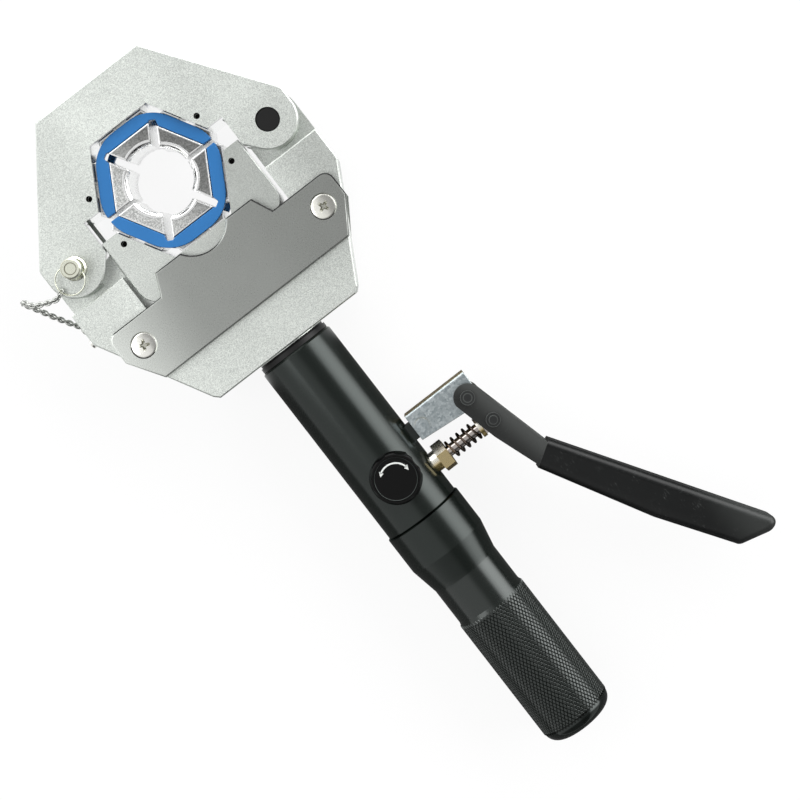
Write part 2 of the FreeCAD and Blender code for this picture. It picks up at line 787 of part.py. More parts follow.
def coil(name, radius, wire, turns, start, end, place):
    """A round-wire spring wound along its own Z axis between two heights."""
    helix = doc.addObject("Part::Helix", name + "_path")
    helix.setExpression("Radius", ref(radius))
    helix.setExpression("Height", ref("(" + end + ") - (" + start + ") - " + wire))
    helix.setExpression("Pitch", ref("((" + end + ") - (" + start + ") - " + wire + ") / " + turns))
    circle = doc.addObject("Part::Circle", name + "_wire")
    circle.setExpression("Radius", ref(wire + " / 2"))
    circle.setExpression("Placement.Base.x", ref(radius))
    circle.Placement = FreeCAD.Placement(FreeCAD.Vector(val(radius), 0, 0),
                                         FreeCAD.Rotation(FreeCAD.Vector(1, 0, 0), 90))
    doc.recompute()
    sweep = doc.addObject("Part::Sweep", name)
    sweep.Sections = [circle]
    sweep.Spine = (helix, ["Edge%d" % (i + 1) for i in range(len(helix.Shape.Edges))])
    sweep.Solid = True
    sweep.Frenet = True
    sweep.Label = name
    sweep.Placement = place
    doc.recompute()
    return keep(sweep)


def ram_pieces():
    """Ram, its seal, guide bush and return spring, inside the frame and the tube."""
    rod = "(RodDia / 2)"
    bore = "(RamBore / 2)"
    crown = "-(RamEnd - PistonLong)"
    groove_top = "-(RamEnd - PistonLong / 2 - SealWide / 2)"
    groove_end = "-(RamEnd - PistonLong / 2 + SealWide / 2)"
    turned_piece("ram_piston", [
        ("0", "-StemEnd"), ("0", "-RamEnd"), (bore, "-RamEnd"), (bore, groove_end),
        (bore + " - SealDeep", groove_end), (bore + " - SealDeep", groove_top), (bore, groove_top),
        (bore, crown), (rod, crown), (rod, "-StemEnd")])
    turned_piece("ram_seal", [
        (bore + " - SealDeep + ThreadGap", groove_end), (bore, groove_end), (bore, groove_top),
        (bore + " - SealDeep + ThreadGap", groove_top)])
    turned_piece("ram_guide_bush", [
        (rod + " + RamFit", "-BushTop"), (rod + " + RamFit", "-BushTop - BushLong"),
        (bore, "-BushTop - BushLong"), (bore, "-BushTop")])
    tilt = FreeCAD.Rotation(FreeCAD.Vector(1, 0, 0), 90)
    start = "BushTop + BushLong"
    coil("ram_return_spring", "ReturnRadius", "ReturnWire", "ReturnTurns", start, "RamEnd - PistonLong",
         FreeCAD.Placement(FreeCAD.Vector(0, -val(start) - val("ReturnWire") / 2, 0), tilt))


def cylinder_tube():
    """Black tube: ram cylinder at the top, pump block below, threaded at both ends."""
    body = new_body("cylinder_tube")
    profile = [
        (BORE, "-SpigotTop"), (BORE, "-RamEnd - ChamberLong"), ("0", "-RamEnd - ChamberLong"),
        ("0", "-TailEnd"), ("TailRadius", "-TailEnd"), ("TailRadius", "-TubeEnd"),
        ("TubeRadius", "-TubeEnd"), ("TubeRadius", "-TubeTop - TubeChamfer"),
        ("TubeRadius - TubeChamfer", "-TubeTop"), ("SpigotRadius", "-TubeTop"),
        ("SpigotRadius", "-SpigotTop")]
    add_turned(body, outline(new_sketch(body), profile), "Revolution")
    outside = "(TubeRadius + 1)"
    for radius, depth in (("GlandShankRadius + SeatGap", outside + " - PumpSeatFlat"),
                          ("GlandShankRadius + ThreadGap", outside + " - GlandShankIn + ThreadGap"),
                          ("PlungerDia / 2 + PlungerFit", outside + " + PumpBoreIn")):
        bore = new_sketch(body, "YZ_Plane", offset=outside)
        ring_outline(bore, "-PumpDrop", "0", radius)
        add_pocket(body, bore, depth, both=False)
    flat = new_sketch(body)
    top = "-LugPinDrop + LugRound"
    low = "-LugPinDrop - LugRound"
    outline(flat, [("PumpSeatFlat", low), (outside, low), (outside, top), ("PumpSeatFlat", top)])
    add_pocket(body, flat, "2 * (LugHalf + ThreadGap)")
    for radius, depth in (("KnobPocket", outside + " - KnobSeat"),
                          ("SpindleRadius + PlungerFit", outside + " - SpindleEnd + ThreadGap")):
        seat = new_sketch(body, offset=outside)
        ring_outline(seat, "KnobOut", "-KnobDrop", radius)
        add_pocket(body, seat, depth, both=False)
    return keep(body)


def handle_pieces():
    """Reservoir handle with its knurled band, the end cap, the oil bladder and the top collar."""
    turned_piece("tube_collar", [
        ("SpigotRadius + ThreadGap", "-BossEnd"), ("SpigotRadius + ThreadGap", "-TubeTop"),
        ("CollarRadius", "-TubeTop"), ("CollarRadius", "-BossEnd")])
    plug = "-(KnurlEnd - CapPlugDeep)"
    lip = "(HandleBore + 1)"
    body = new_body("reservoir_handle")
    profile = [
        ("TailRadius + ThreadGap", "-HandleStart"), ("TailRadius + ThreadGap", "-TailEnd"),
        ("HandleBore", "-TailEnd - 1"), ("HandleBore", plug), (lip, plug), (lip, "-KnurlEnd"),
        ("KnurlRadius", "-KnurlEnd"), ("KnurlRadius", "-KnurlStart"), ("NeckRadius", "-NeckEnd"),
        ("NeckRadius", "-NeckStart"), ("HandleRadius", "-ConeStart"),
        ("HandleRadius", "-HandleStart - 0.4"),
        ("HandleRadius - 0.4", "-HandleStart")]
    add_turned(body, outline(new_sketch(body), profile), "Revolution")
    keep(body)
    cap_top = "-(KnurlEnd + CapGap)"
    turned_piece("handle_end_cap", [
        ("0", plug), ("0", "-CapEnd"), ("(KnurlRadius - CapRound)", "-CapEnd", "CapRound", 1),
        ("KnurlRadius", "-CapEnd + CapRound"), ("KnurlRadius", cap_top),
        (lip + " - ThreadGap", cap_top), (lip + " - ThreadGap", plug)])
    turned_piece("oil_bladder", [
        ("0", "-TailEnd"), ("0", "-BladderEnd"),
        ("(BladderRadius - BladderRound)", "-BladderEnd", "BladderRound", 1),
        ("BladderRadius", "-BladderEnd + BladderRound"),
        ("BladderRadius", "-TailEnd - BladderRound", "BladderRound", 1),
        ("(BladderRadius - BladderRound)", "-TailEnd")])


def release_knob():
    """Scalloped release knob and the needle spindle that it turns."""
    body = new_body("release_knob")
    base = new_sketch(body, offset="KnobSkirt")
    ring_outline(base, "0", "0", "KnobRadius")
    add_pad(body, base, "KnobTop - KnobSkirt", both=False)
    top = val("KnobTop")
    dress(body, "Fillet", "KnobEdge", lambda edge: edge.BoundBox.ZLength < 1e-4
          and abs(edge.BoundBox.ZMax - top) < 1e-3)
    scallop = new_sketch(body, offset="KnobTop + 1")
    ring_outline(scallop, "KnobRadius + KnobScallop - ScallopDeep", "0", "KnobScallop")
    cut = add_pocket(body, scallop, "KnobTop - KnobSkirt + 2", both=False)
    ring = body.newObject("PartDesign::PolarPattern", "release_knob_ring")
    ring.Originals = [cut]
    ring.Axis = (plane(body, "Z_Axis"), [""])
    ring.Angle = 360
    ring.setExpression("Occurrences", ref("KnobLobes"))
    body.Tip = ring
    doc.recompute()
    face = new_sketch(body, offset="KnobTop")
    ring_outline(face, "0", "0", "KnobDisc")
    add_pocket(body, face, "KnobDiscDeep", both=False)
    place = FreeCAD.Vector(val("KnobOut"), -val("KnobDrop"), 0)
    body.Placement = FreeCAD.Placement(place, FreeCAD.Rotation())
    keep(body)
    tip = "(SpindleRadius - 1)"
    turned_piece("release_spindle", [
        ("0", "SpindleEnd"), ("1", "SpindleEnd"), ("SpindleRadius", "SpindleEnd + " + tip),
        ("SpindleRadius", "KnobSkirt"), ("0", "KnobSkirt")], "XZ_Plane",
        (val("KnobOut"), -val("KnobDrop"), 0))


def pump_pieces():
    """Pump gland, plunger, its spring and the brass retainer, along X from the tube."""
    line = (0, -val("PumpDrop"), 0)
    rod = "(PlungerDia / 2)"
    body = new_body("gland_nut")
    shank = [("GlandShankIn", rod + " + PlungerFit"), ("GlandHexEnd", rod + " + PlungerFit"),
             ("GlandHexEnd", "GlandShankRadius"), ("GlandShankIn", "GlandShankRadius")]
    add_turned(body, outline(new_sketch(body), shank), "Revolution", "H_Axis")
    hexagon = new_sketch(body, "YZ_Plane", offset="GlandCollarEnd")
    points = []
    for i in range(6):
        turn = 60 * i + 12
        points.append(("GlandHexFlats / 2 / cos(30) * cos(%d)" % turn,
                       "GlandHexFlats / 2 / cos(30) * sin(%d)" % turn))
    outline(hexagon, points)
    ring_outline(hexagon, "0", "0", rod + " + PlungerFit")
    add_pad(body, hexagon, "GlandHexEnd - GlandCollarEnd", both=False)
    body.Placement = FreeCAD.Placement(FreeCAD.Vector(*line), FreeCAD.Rotation())
    keep(body)

    body = new_body("pump_plunger")
    seat = "(SpringEnd + RetainerThick)"
    shaft = [("PlungerIn", "0"), (seat, "0"), (seat, rod), ("PlungerIn + 1", rod),
             ("PlungerIn", rod + " - 1")]
    add_turned(body, outline(new_sketch(body), shaft), "Revolution", "H_Axis")
    high = "(EyeHigh / 2)"
    eye = new_sketch(body)
    outline(eye, [(seat, "-" + high), ("EyePinX", "-" + high, high, 1),
                  ("EyePinX + " + high, "0", high, 1), ("EyePinX", high), (seat, high)])
    add_pad(body, eye, "EyeThick")
    slot = new_sketch(body)
    clear = "(EyePinDia / 2 + EyePinGap)"
    outline(slot, [
        ("EyePinX + " + clear, "-EyeSlotRun"), ("EyePinX + " + clear, "EyeSlotRun", clear, 1),
        ("EyePinX", "EyeSlotRun + " + clear, clear, 1),
        ("EyePinX - " + clear, "EyeSlotRun"), ("EyePinX - " + clear, "-EyeSlotRun", clear, 1),
        ("EyePinX", "-EyeSlotRun - " + clear, clear, 1)])
    add_pocket(body, slot)
    body.Placement = FreeCAD.Placement(FreeCAD.Vector(*line), FreeCAD.Rotation())
    keep(body)

    turned_piece("spring_retainer", [
        ("SpringEnd", rod + " + ThreadGap"), (seat, rod + " + ThreadGap"), (seat, "RetainerRadius"),
        ("SpringEnd", "RetainerRadius")],
        place=line, axis="H_Axis")
    tilt = FreeCAD.Rotation(FreeCAD.Vector(0, 1, 0), 90)
    start = FreeCAD.Vector(val("GlandHexEnd") + val("SpringWire") / 2, line[1], 0)
    coil("pump_spring", "PumpSpringRadius", "SpringWire", "SpringTurns", "GlandHexEnd", "SpringEnd",
         FreeCAD.Placement(start, tilt))


def cross_pin(name, x_text, y_text, radius, half_long, head, head_thick, washer=None, washer_thick="0"):
    """A pin along Z with a round head at each end."""
    neck = "(" + half_long + ")"
    tall = "(" + half_long + " + " + head_thick + ")"
    profile = [("0", "-" + tall), (head, "-" + tall), (head, "-" + neck), (radius, "-" + neck),
               (radius, neck), (head, neck), (head, tall), ("0", tall)]
    if washer is not None:
        step = "(" + half_long + " + " + washer_thick + ")"
        profile = [("0", "-" + tall), (head, "-" + tall), (head, "-" + step), (washer, "-" + step),
                   (washer, "-" + neck), (radius, "-" + neck), (radius, neck), (washer, neck),
                   (washer, step), (head, step), (head, tall), ("0", tall)]
    return turned_piece(name, profile, "XZ_Plane", (val(x_text), val(y_text), 0))


def linkage():
    """Zinc-plated channel link, its lug on the tube, and the pins of the lever."""
    body = new_body("link_lug")
    ear = [("PumpSeatFlat", "-LugRound"), ("LugPinX", "-LugRound", "LugRound", 1),
           ("LugPinX + LugRound", "0", "LugRound", 1), ("LugPinX", "LugRound"),
           ("PumpSeatFlat", "LugRound")]
    add_pad(body, outline(new_sketch(body), ear), "2 * LugHalf")
    eye = new_sketch(body)
    ring_outline(eye, "LugPinX", "0", "LugPinDia / 2 + PinFit")
    add_pocket(body, eye)
    body.Placement = FreeCAD.Placement(FreeCAD.Vector(0, -val("LugPinDrop"), 0), FreeCAD.Rotation())
    keep(body)

    body = new_body("channel_link")
    side = [
        ("LinkStart", "-LinkBottom"),
        ("PivotX", "-PivotDrop - LinkEndRound", "LinkEndRound", 1),
        ("PivotX + LinkEndRound", "-PivotDrop"),
        ("PivotX + LinkEndRound", "-LinkWebTop"), ("LinkStart", "-LinkWebTop")]
    add_pad(body, outline(new_sketch(body), side), "2 * LinkHalf")
    inside = new_sketch(body)
    outline(inside, [("LinkStart - 1", "-LinkBottom - 10"), ("PivotX + LinkEndRound + 1", "-LinkBottom - 10"),
                     ("PivotX + LinkEndRound + 1", "-LinkWebTop - LinkSheet"),
                     ("LinkStart - 1", "-LinkWebTop - LinkSheet")])
    add_pocket(body, inside, "2 * (LinkHalf - LinkSheet)")
    for x_text, y_text, radius in (("PivotX", "-PivotDrop", "PivotDia / 2 + PinFit"),
                                   ("LugPinX", "-LugPinDrop", "LugPinDia / 2 + PinFit")):
        eye = new_sketch(body)
        ring_outline(eye, x_text, y_text, radius)
        add_pocket(body, eye)
    web = -val("LinkWebTop")
    dress(body, "Fillet", "LinkBend", lambda edge: abs(edge.BoundBox.YMax - web) < 1e-3
          and edge.BoundBox.YLength < 1e-3 and edge.BoundBox.XLength > 5)
    keep(body)

    cross_pin("lug_pin", "LugPinX", "-LugPinDrop", "LugPinDia / 2", "LinkHalf", "LugPinDia / 2 + 1.2",
              "1")
    cross_pin("lever_pivot_pin", "PivotX", "-PivotDrop", "PivotDia / 2", "LeverHalf",
              "PivotDia / 2 + 1.3", "1.2")
    cross_pin("plunger_pin", "EyePinX", "-PumpDrop", "EyePinDia / 2", "LeverHalf", "EyePinDia / 2",
              "WasherThick + 1", "WasherRadius", "WasherThick")


def from_bend(along, across):
    """A place on the lever, along its tang and outwards across it, from the bend."""
    x = "(PivotX + BendOut + (%s) * sin(GripTilt) + (%s) * cos(GripTilt))" % (along, across)
    y = "(-PivotDrop - BendDown - (%s) * cos(GripTilt) + (%s) * sin(GripTilt))" % (along, across)
    return x, y


def pump_lever():
    """Folded steel lever: a fork on the pump, a back web, and a tang inside the grip."""
    body = new_body("pump_lever")
    wide = "(GripMouthHalf - GripWall)"
    tang = [from_bend("0", "-" + wide), from_bend("TangLong", "-" + wide),
            from_bend("TangLong", wide), from_bend("0", wide)]
    side = [("PivotX - LeverEyeRound", "-PivotDrop"), ("PivotX - KneeIn", "-PivotDrop - KneeDown")] + \
        tang + [("PivotX + LeverEyeRound", "-PivotDrop", "LeverEyeRound", 1),
                ("PivotX", "-PivotDrop + LeverEyeRound", "LeverEyeRound", 1)]
    add_pad(body, outline(new_sketch(body), side), "2 * LeverHalf")
    lean = "((%s - PivotX - LeverEyeRound) / (-PivotDrop - %s))" % tang[3]
    back = "(PivotX + LeverEyeRound - LeverSheet + WebDown * " + lean + ")"
    above = "-PivotDrop + 2 * LeverEyeRound"
    inset = from_bend("-LeverSheet", wide + " - LeverSheet")
    low = from_bend("-LeverSheet", "-2 * GripMouthHalf")
    hollow = new_sketch(body)
    outline(hollow, [
        ("PivotX - 2 * LeverEyeRound", above), low, inset, (back, "-PivotDrop - WebDown"),
        ("PivotX + 3 * LeverEyeRound", "-PivotDrop - WebDown"), ("PivotX + 3 * LeverEyeRound", above)])
    add_pocket(body, hollow, "2 * (LeverHalf - LeverSheet)")
    for sign, up in (("", True), ("-", False)):
        waist = new_sketch(body, offset=sign + "TangHalf")
        outline(waist, [from_bend("0", "-2 * GripMouthHalf"), from_bend("2 * TangLong", "-2 * GripMouthHalf"),
                        from_bend("2 * TangLong", "2 * GripMouthHalf"), from_bend("0", "2 * GripMouthHalf")])
        add_pocket(body, waist, "LeverHalf", both=False, up=up)
    for x_text, y_text, radius in (("PivotX", "-PivotDrop", "PivotDia / 2 + PinFit"),
                                   ("EyePinX", "-PumpDrop", "EyePinDia / 2 + PinFit")):
        eye = new_sketch(body)
        ring_outline(eye, x_text, y_text, radius)
        add_pocket(body, eye)
    keep(body)

    body = new_body("lever_grip")
    sleeve = [from_bend("0", "GripMouthHalf"), from_bend("0", "-GripMouthHalf"),
              from_bend("GripBellyAlong", "-GripBellyDeep"), from_bend("GripToeAlong", "-GripToeDeep"),
              from_bend("GripTipAlong", "GripMouthHalf - GripTipIn"),
              from_bend("GripTipAlong - GripNoseBack", "GripMouthHalf")]
    add_pad(body, outline(new_sketch(body), sleeve), "2 * GripHalf")
    for corner, size in ((3, "GripToeRound"), (4, "GripTipRound"), (5, "GripTipRound")):
        dress(body, "Fillet", size, upright_at(*sleeve[corner]))
    half = val("GripHalf")
    mouth = [FreeCAD.Vector(val(x), val(y), 0) for x, y in sleeve[:2]]

    def long_rim(edge):
        box = edge.BoundBox
        if box.ZLength > 1e-4 or abs(abs(box.ZMax) - half) > 1e-3:
            return False
        ends = [FreeCAD.Vector(v.X, v.Y, 0) for v in edge.Vertexes]
        return not all(min(end.distanceToPoint(spot) for spot in mouth) < 0.01 for end in ends)
    dress(body, "Fillet", "GripRound", long_rim)
    add_pocket(body, outline(new_sketch(body), tang), "2 * TangHalf")
    keep(body)


def lock_set():
    """Hinge pin, lock pin, its split ring and the screw that anchors the chain."""
    pin = "(PinDia / 2)"
    flush = "(HeadThick / 2 - 0.2)"
    turned_piece("hinge_pin", [
        ("0", "-" + flush), (pin + " - 0.6", "-" + flush), (pin, "-" + flush + " + 0.6"),
        (pin, flush + " - 0.6"), (pin + " - 0.6", flush), ("0", flush)], "XZ_Plane",
        (val("PinOffset"), -val("PinDrop"), 0))

    place = FreeCAD.Vector(-val("PinOffset"), -val("PinDrop"), 0)
    body = new_body("lock_pin_blank")
    shank = "(LockShank / 2)"
    head = "(LockHead / 2)"
    under = "(LockTop - LockHeadLong)"
    profile = [
        ("0", "-LockTip"), (shank + " - LockTipCone", "-LockTip"),
        (shank, "-LockTip + LockTipCone"), (shank, "LockShoulder"),
        (shank + " - 0.9", "LockShoulder + 0.9"), ("LockNeck / 2", "LockShoulder + 0.9"),
        ("LockNeck / 2", under), (head, under), (head, "LockTop - 0.8"),
        (head + " - 0.8", "LockTop"), ("LockDimple", "LockTop"),
        ("LockDimple", "LockTop - 0.3"), ("0", "LockTop - 0.3")]
    add_turned(body, outline(new_sketch(body, "XZ_Plane"), profile), "Revolution")
    body.Placement = FreeCAD.Placement(place, FreeCAD.Rotation())

    bearing = math.radians(val("RingBearing"))
    reach = val("RingReach")
    tilt = math.radians(val("RingTilt"))
    away = FreeCAD.Vector(math.cos(bearing), math.sin(bearing), 0)
    side = FreeCAD.Vector(-away.y, away.x, 0)
    centre = place + away * (reach * math.cos(tilt)) + \
        FreeCAD.Vector(0, 0, val("RingHoleHeight") - reach * math.sin(tilt))
    lie = FreeCAD.Placement(centre, FreeCAD.Rotation(side, val("RingTilt")))
    tori = {}
    for name, thick in (("ring_hole", "RingHoleDia / 2"), ("lock_pin_ring", "RingWire / 2")):
        torus = doc.addObject("Part::Torus", name)
        torus.setExpression("Radius1", ref("RingRadius"))
        torus.setExpression("Radius2", ref(thick))
        torus.Placement = lie
        torus.Label = name
        tori[name] = torus
    keep(tori["lock_pin_ring"])
    cut = doc.addObject("Part::Cut", "lock_pin")
    cut.Base = body
    cut.Tool = tori["ring_hole"]
    cut.Label = "lock_pin"
    keep(cut)

    shaft = "(AnchorHead / 4)"
    body = new_body("chain_anchor")
    side = "-" + FRAME_SIDE
    neck = side + " - AnchorNeck"
    head = neck + " - EyeletThick - 2 * ThreadGap"
    profile = [
        (side + " + AnchorLong", "0"), (side + " + AnchorLong", shaft), (side, shaft),
        (side, "(AnchorHead / 2 - 0.6)"), (neck, "(AnchorHead / 2 - 0.6)"), (neck, shaft),
        (head, shaft), (head, "(AnchorHead / 2)"), (head + " - 1", "(AnchorHead / 2)"),
        (head + " - 1.6", shaft), (head + " - 1.6", "0")]
    add_turned(body, outline(new_sketch(body), profile), "Revolution", "H_Axis")
    body.Placement = FreeCAD.Placement(FreeCAD.Vector(0, -val("AnchorDrop"), 0), FreeCAD.Rotation())
    keep(body)
    return lie


def chain_link():
    """One oval link, flat in its own XY plane, with its length along X."""
    wide = val("ChainLinkWide") / 2
    straight = val("ChainLinkLong") / 2 - wide
    wire = val("ChainWire")
    rings = []
    for half in (wide, wide - wire):
        ring = Part.makeBox(2 * straight, 2 * half, wire, FreeCAD.Vector(-straight, -half, -wire / 2))
        for end in (1, -1):
            ring = ring.fuse(Part.makeCylinder(half, wire, FreeCAD.Vector(end * straight, 0, -wire / 2)))
        rings.append(ring.removeSplitter())
    return rings[0].cut(rings[1])


def chain_eyelet():
    """Flat eyelet on the anchor's neck, with a second small hole for the last link."""
    thick = val("EyeletThick")
    rim = val("EyeletRim")
    x = -val(FRAME_SIDE) - val("AnchorNeck") - val("ThreadGap")
    back = FreeCAD.Vector(-1, 0, 0)
    big = FreeCAD.Vector(x, -val("AnchorDrop"), 0)
    small = big + FreeCAD.Vector(0, val("EyeletReach"), 0)
    shaft = val("AnchorHead") / 4 + val("ThreadGap")
    plate = Part.makeCylinder(shaft + rim, thick, big, back)
    plate = plate.fuse(Part.makeCylinder(val("ChainWire") * 0.75 + rim, thick, small, back))
    plate = plate.cut(Part.makeCylinder(shaft, thick, big, back))
    plate = plate.cut(Part.makeCylinder(val("ChainWire") * 0.75, thick, small, back))
    hook = small + FreeCAD.Vector(-thick / 2, val("ChainWire") * 0.75 + rim / 2, 0)
    return plate.removeSplitter(), hook


def pin_chain(lie):
    """Oval links, each turned a quarter from the last, from the split ring to the anchor."""
    wire = val("ChainWire")
    inside = val("ChainLinkLong") / 2 - wire
    link = chain_link()
    eyelet, hook = chain_eyelet()
    bearing = math.radians(val("ChainBearing"))
    out = lie.Rotation.multVec(FreeCAD.Vector(math.cos(bearing), math.sin(bearing), 0))
    face = lie.Rotation.multVec(FreeCAD.Vector(0, 0, 1))
    start = lie.Base + out * (val("RingRadius") + inside - val("RingWire") / 2 - val("LinkPlay"))
    end = hook + FreeCAD.Vector(0, inside - val("EyeletRim") / 2 - val("LinkPlay"), 0)
    side = -val(FRAME_SIDE)
    # Hand-laid route: out from the ring, round a slack loop, and back to the anchor.
    route = [start, start + out * val("ChainLinkLong")]
    for beyond, down, up in ((-11.0, 2.6, 18.5), (-15.5, -2.2, 14.5), (-16.8, -2.4, 9.8),
                             (-13.8, 3.6, 6.2), (-9.6, 11.6, 4.4), (-5.2, 19.4, 2.2)):
        route.append(FreeCAD.Vector(side + beyond, -val("PinDrop") - down, up))
    route += [end + FreeCAD.Vector(-0.4, val("ChainLinkLong"), 0.3), end]
    curve = Part.BSplineCurve()
    curve.interpolate(Points=route, InitialTangent=out, FinalTangent=FreeCAD.Vector(0, -1, 0))
    pitch = val("ChainLinkLong") - 2 * wire - 2 * val("LinkPlay")
    count = 2 * int(curve.length() / pitch / 2) + 1
    solids = [eyelet]
    for i in range(count + 1):
        where = curve.parameterAtDistance(curve.length() * i / count)
        along = curve.tangent(where)[0]
        across = face.cross(along) if i < count else FreeCAD.Vector(0, 0, 1)
        across.normalize()
        if i % 2 and i < count:
            across = along.cross(across)
        piece = link.copy()
        piece.Placement = FreeCAD.Placement(
            curve.value(where), FreeCAD.Rotation(along, FreeCAD.Vector(), across, "XZY"))
        solids.append(piece)
    group = doc.addObject("Part::Feature", "pin_chain")
    group.Label = "pin_chain"
    group.Shape = Part.makeCompound(solids)
    print("chain %.1f mm long, %d links" % (curve.length() + val("ChainLinkLong"), count + 1))
    return keep(group)


upper_jaw()
die_block()
for label, bearing, lift, slide in (
        ("upper_middle_die", 90, LIFT, 0), ("upper_left_die", 150, LIFT, -1),
        ("upper_right_die", 30, LIFT, 1), ("lower_middle_die", 270, "-" + LIFT, 0),
        ("lower_left_die", 210, "-" + LIFT, 1), ("lower_right_die", 330, "-" + LIFT, -1)):
    die(label, bearing, lift, slide)
for half in ("upper", "lower"):
    for face in ("front", "rear"):
        keeper("%s_keeper_%s" % (half, face), half == "upper", face == "front")
frame_body()
cover("front_cover", True)
cover("rear_cover", False)
cover_screws()
ram_pieces()
cylinder_tube()
handle_pieces()
release_knob()
pump_pieces()
linkage()
pump_lever()
pin_chain(lock_set())
doc.recompute()

# Nothing is written unless every feature has built and every sub-part is a valid solid.
faults = [obj.Name for obj in doc.Objects if "Invalid" in obj.State or "Error" in obj.State]
for name, obj in NODES.items():
    shape = obj.Shape
    if shape.isNull() or not shape.isValid() or not shape.Solids:
        faults.append(name)
if faults:
    raise RuntimeError("failed: " + ", ".join(faults))

os.makedirs("parts", exist_ok=True)
for name, obj in NODES.items():
    obj.Shape.exportStep(os.path.join("parts", name + ".step"))
    print("%-20s %9.1f mm3 %3d solids" % (name, obj.Shape.Volume, len(obj.Shape.Solids)))
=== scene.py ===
# %% [markdown]
# # A hand-operated hydraulic hose crimper
#
# The tool lies on its back. A hinged steel jaw and a sliding die block hold six dies round
# the hose. The black tube holds the ram, the knurled handle holds the oil, and the side
# lever drives the pump.
#
# The solid parts come ready-made from the CAD frame. This lesson adds what CAD leaves out: finishes
# with grain, wear and painted shade, the knurling, the chain, the plastic rings cut into quarters,
# and the light and the camera of a product photograph.

# %% Load the frame
import math

import bmesh
import bpy
from mathutils import Matrix, Vector


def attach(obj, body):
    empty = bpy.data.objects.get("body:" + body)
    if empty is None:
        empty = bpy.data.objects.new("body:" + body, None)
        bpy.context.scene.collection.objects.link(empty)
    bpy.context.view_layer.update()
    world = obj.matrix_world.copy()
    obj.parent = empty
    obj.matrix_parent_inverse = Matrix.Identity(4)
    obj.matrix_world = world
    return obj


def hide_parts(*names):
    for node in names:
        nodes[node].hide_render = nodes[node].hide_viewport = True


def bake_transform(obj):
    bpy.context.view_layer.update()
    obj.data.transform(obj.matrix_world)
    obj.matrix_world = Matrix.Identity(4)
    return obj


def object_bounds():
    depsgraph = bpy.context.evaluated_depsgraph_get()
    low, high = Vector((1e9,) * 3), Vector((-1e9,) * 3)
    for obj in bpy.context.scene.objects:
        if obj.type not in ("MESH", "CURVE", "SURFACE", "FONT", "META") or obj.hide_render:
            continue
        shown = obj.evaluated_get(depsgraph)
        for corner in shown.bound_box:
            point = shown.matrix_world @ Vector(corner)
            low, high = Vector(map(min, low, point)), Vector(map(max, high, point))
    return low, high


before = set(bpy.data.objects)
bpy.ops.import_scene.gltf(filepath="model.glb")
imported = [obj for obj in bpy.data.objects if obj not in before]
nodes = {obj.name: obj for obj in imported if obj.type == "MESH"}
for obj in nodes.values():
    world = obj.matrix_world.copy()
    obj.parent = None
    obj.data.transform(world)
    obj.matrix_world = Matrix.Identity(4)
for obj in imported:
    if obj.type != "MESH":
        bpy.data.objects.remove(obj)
cad_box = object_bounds()
scene = bpy.context.scene
MM = 0.001

# %% [markdown]
# ## Camera
#
# The photograph looks straight down at the tool from less than a metre away, with the
# handle running to the lower right. The picture was cropped, so the middle of the lens
# isn't the middle of the frame. A camera shift does the same. The focal length is written
# in pixels of the 800 pixel frame, because that is how it was measured.

# %% Place the camera
FRAME_PX = 800
FOCAL_PX = 1775
LENS_MIDDLE_PX = (399, 256)
SENSOR_MM = 36
EYE = Vector((71.15, -103.1, 907.5)) * MM
PICTURE_RIGHT = Vector((0.791, -0.612, 0)).normalized()

camera_data = bpy.data.cameras.new("camera")
camera_data.sensor_width = SENSOR_MM
camera_data.lens = SENSOR_MM * FOCAL_PX / FRAME_PX
camera_data.shift_x = (FRAME_PX / 2 - LENS_MIDDLE_PX[0]) / FRAME_PX
camera_data.shift_y = (LENS_MIDDLE_PX[1] - FRAME_PX / 2) / FRAME_PX
camera_data.clip_start = 0.05
camera = bpy.data.objects.new("camera", camera_data)
scene.collection.objects.link(camera)
back = Vector((0, 0, 1))
turn = Matrix((PICTURE_RIGHT, back.cross(PICTURE_RIGHT), back)).transposed()
camera.matrix_world = Matrix.Translation(EYE) @ turn.to_4x4()
scene.camera = camera
print("lens %.1f mm" % camera_data.lens)
print("shift %.3f %.3f" % (camera_data.shift_x, camera_data.shift_y))

# %% [markdown]
# ## Node helpers
#
# A material or a light is a small network of nodes. Two helpers keep the networks short.
# `put` adds any node, sets it and fills its sockets. `Signal` wraps a socket so that
# ordinary Python arithmetic adds the Math nodes.

# %% Write node networks as Python
def put(tree, kind, values=None, **settings):
    """Add a node: settings first, then values or links for its sockets."""
    node = tree.nodes.new(kind)
    stops = settings.pop("stops", None)
    for name, value in settings.items():
        setattr(node, name, value)
    if stops:
        ramp = node.color_ramp.elements
        ramp[0].position, ramp[1].position = stops[0][0], stops[-1][0]
        for place, _ in stops[1:-1]:
            ramp.new(place)
        for element, (_, shade) in zip(ramp, stops):
            element.color = tuple(shade) + (1,)
    for key, value in (values or {}).items():
        socket = node.inputs[key]
        if isinstance(value, Signal):
            value = value.socket
        if isinstance(value, bpy.types.NodeSocket):
            tree.links.new(value, socket)
        else:
            socket.default_value = value
    return node


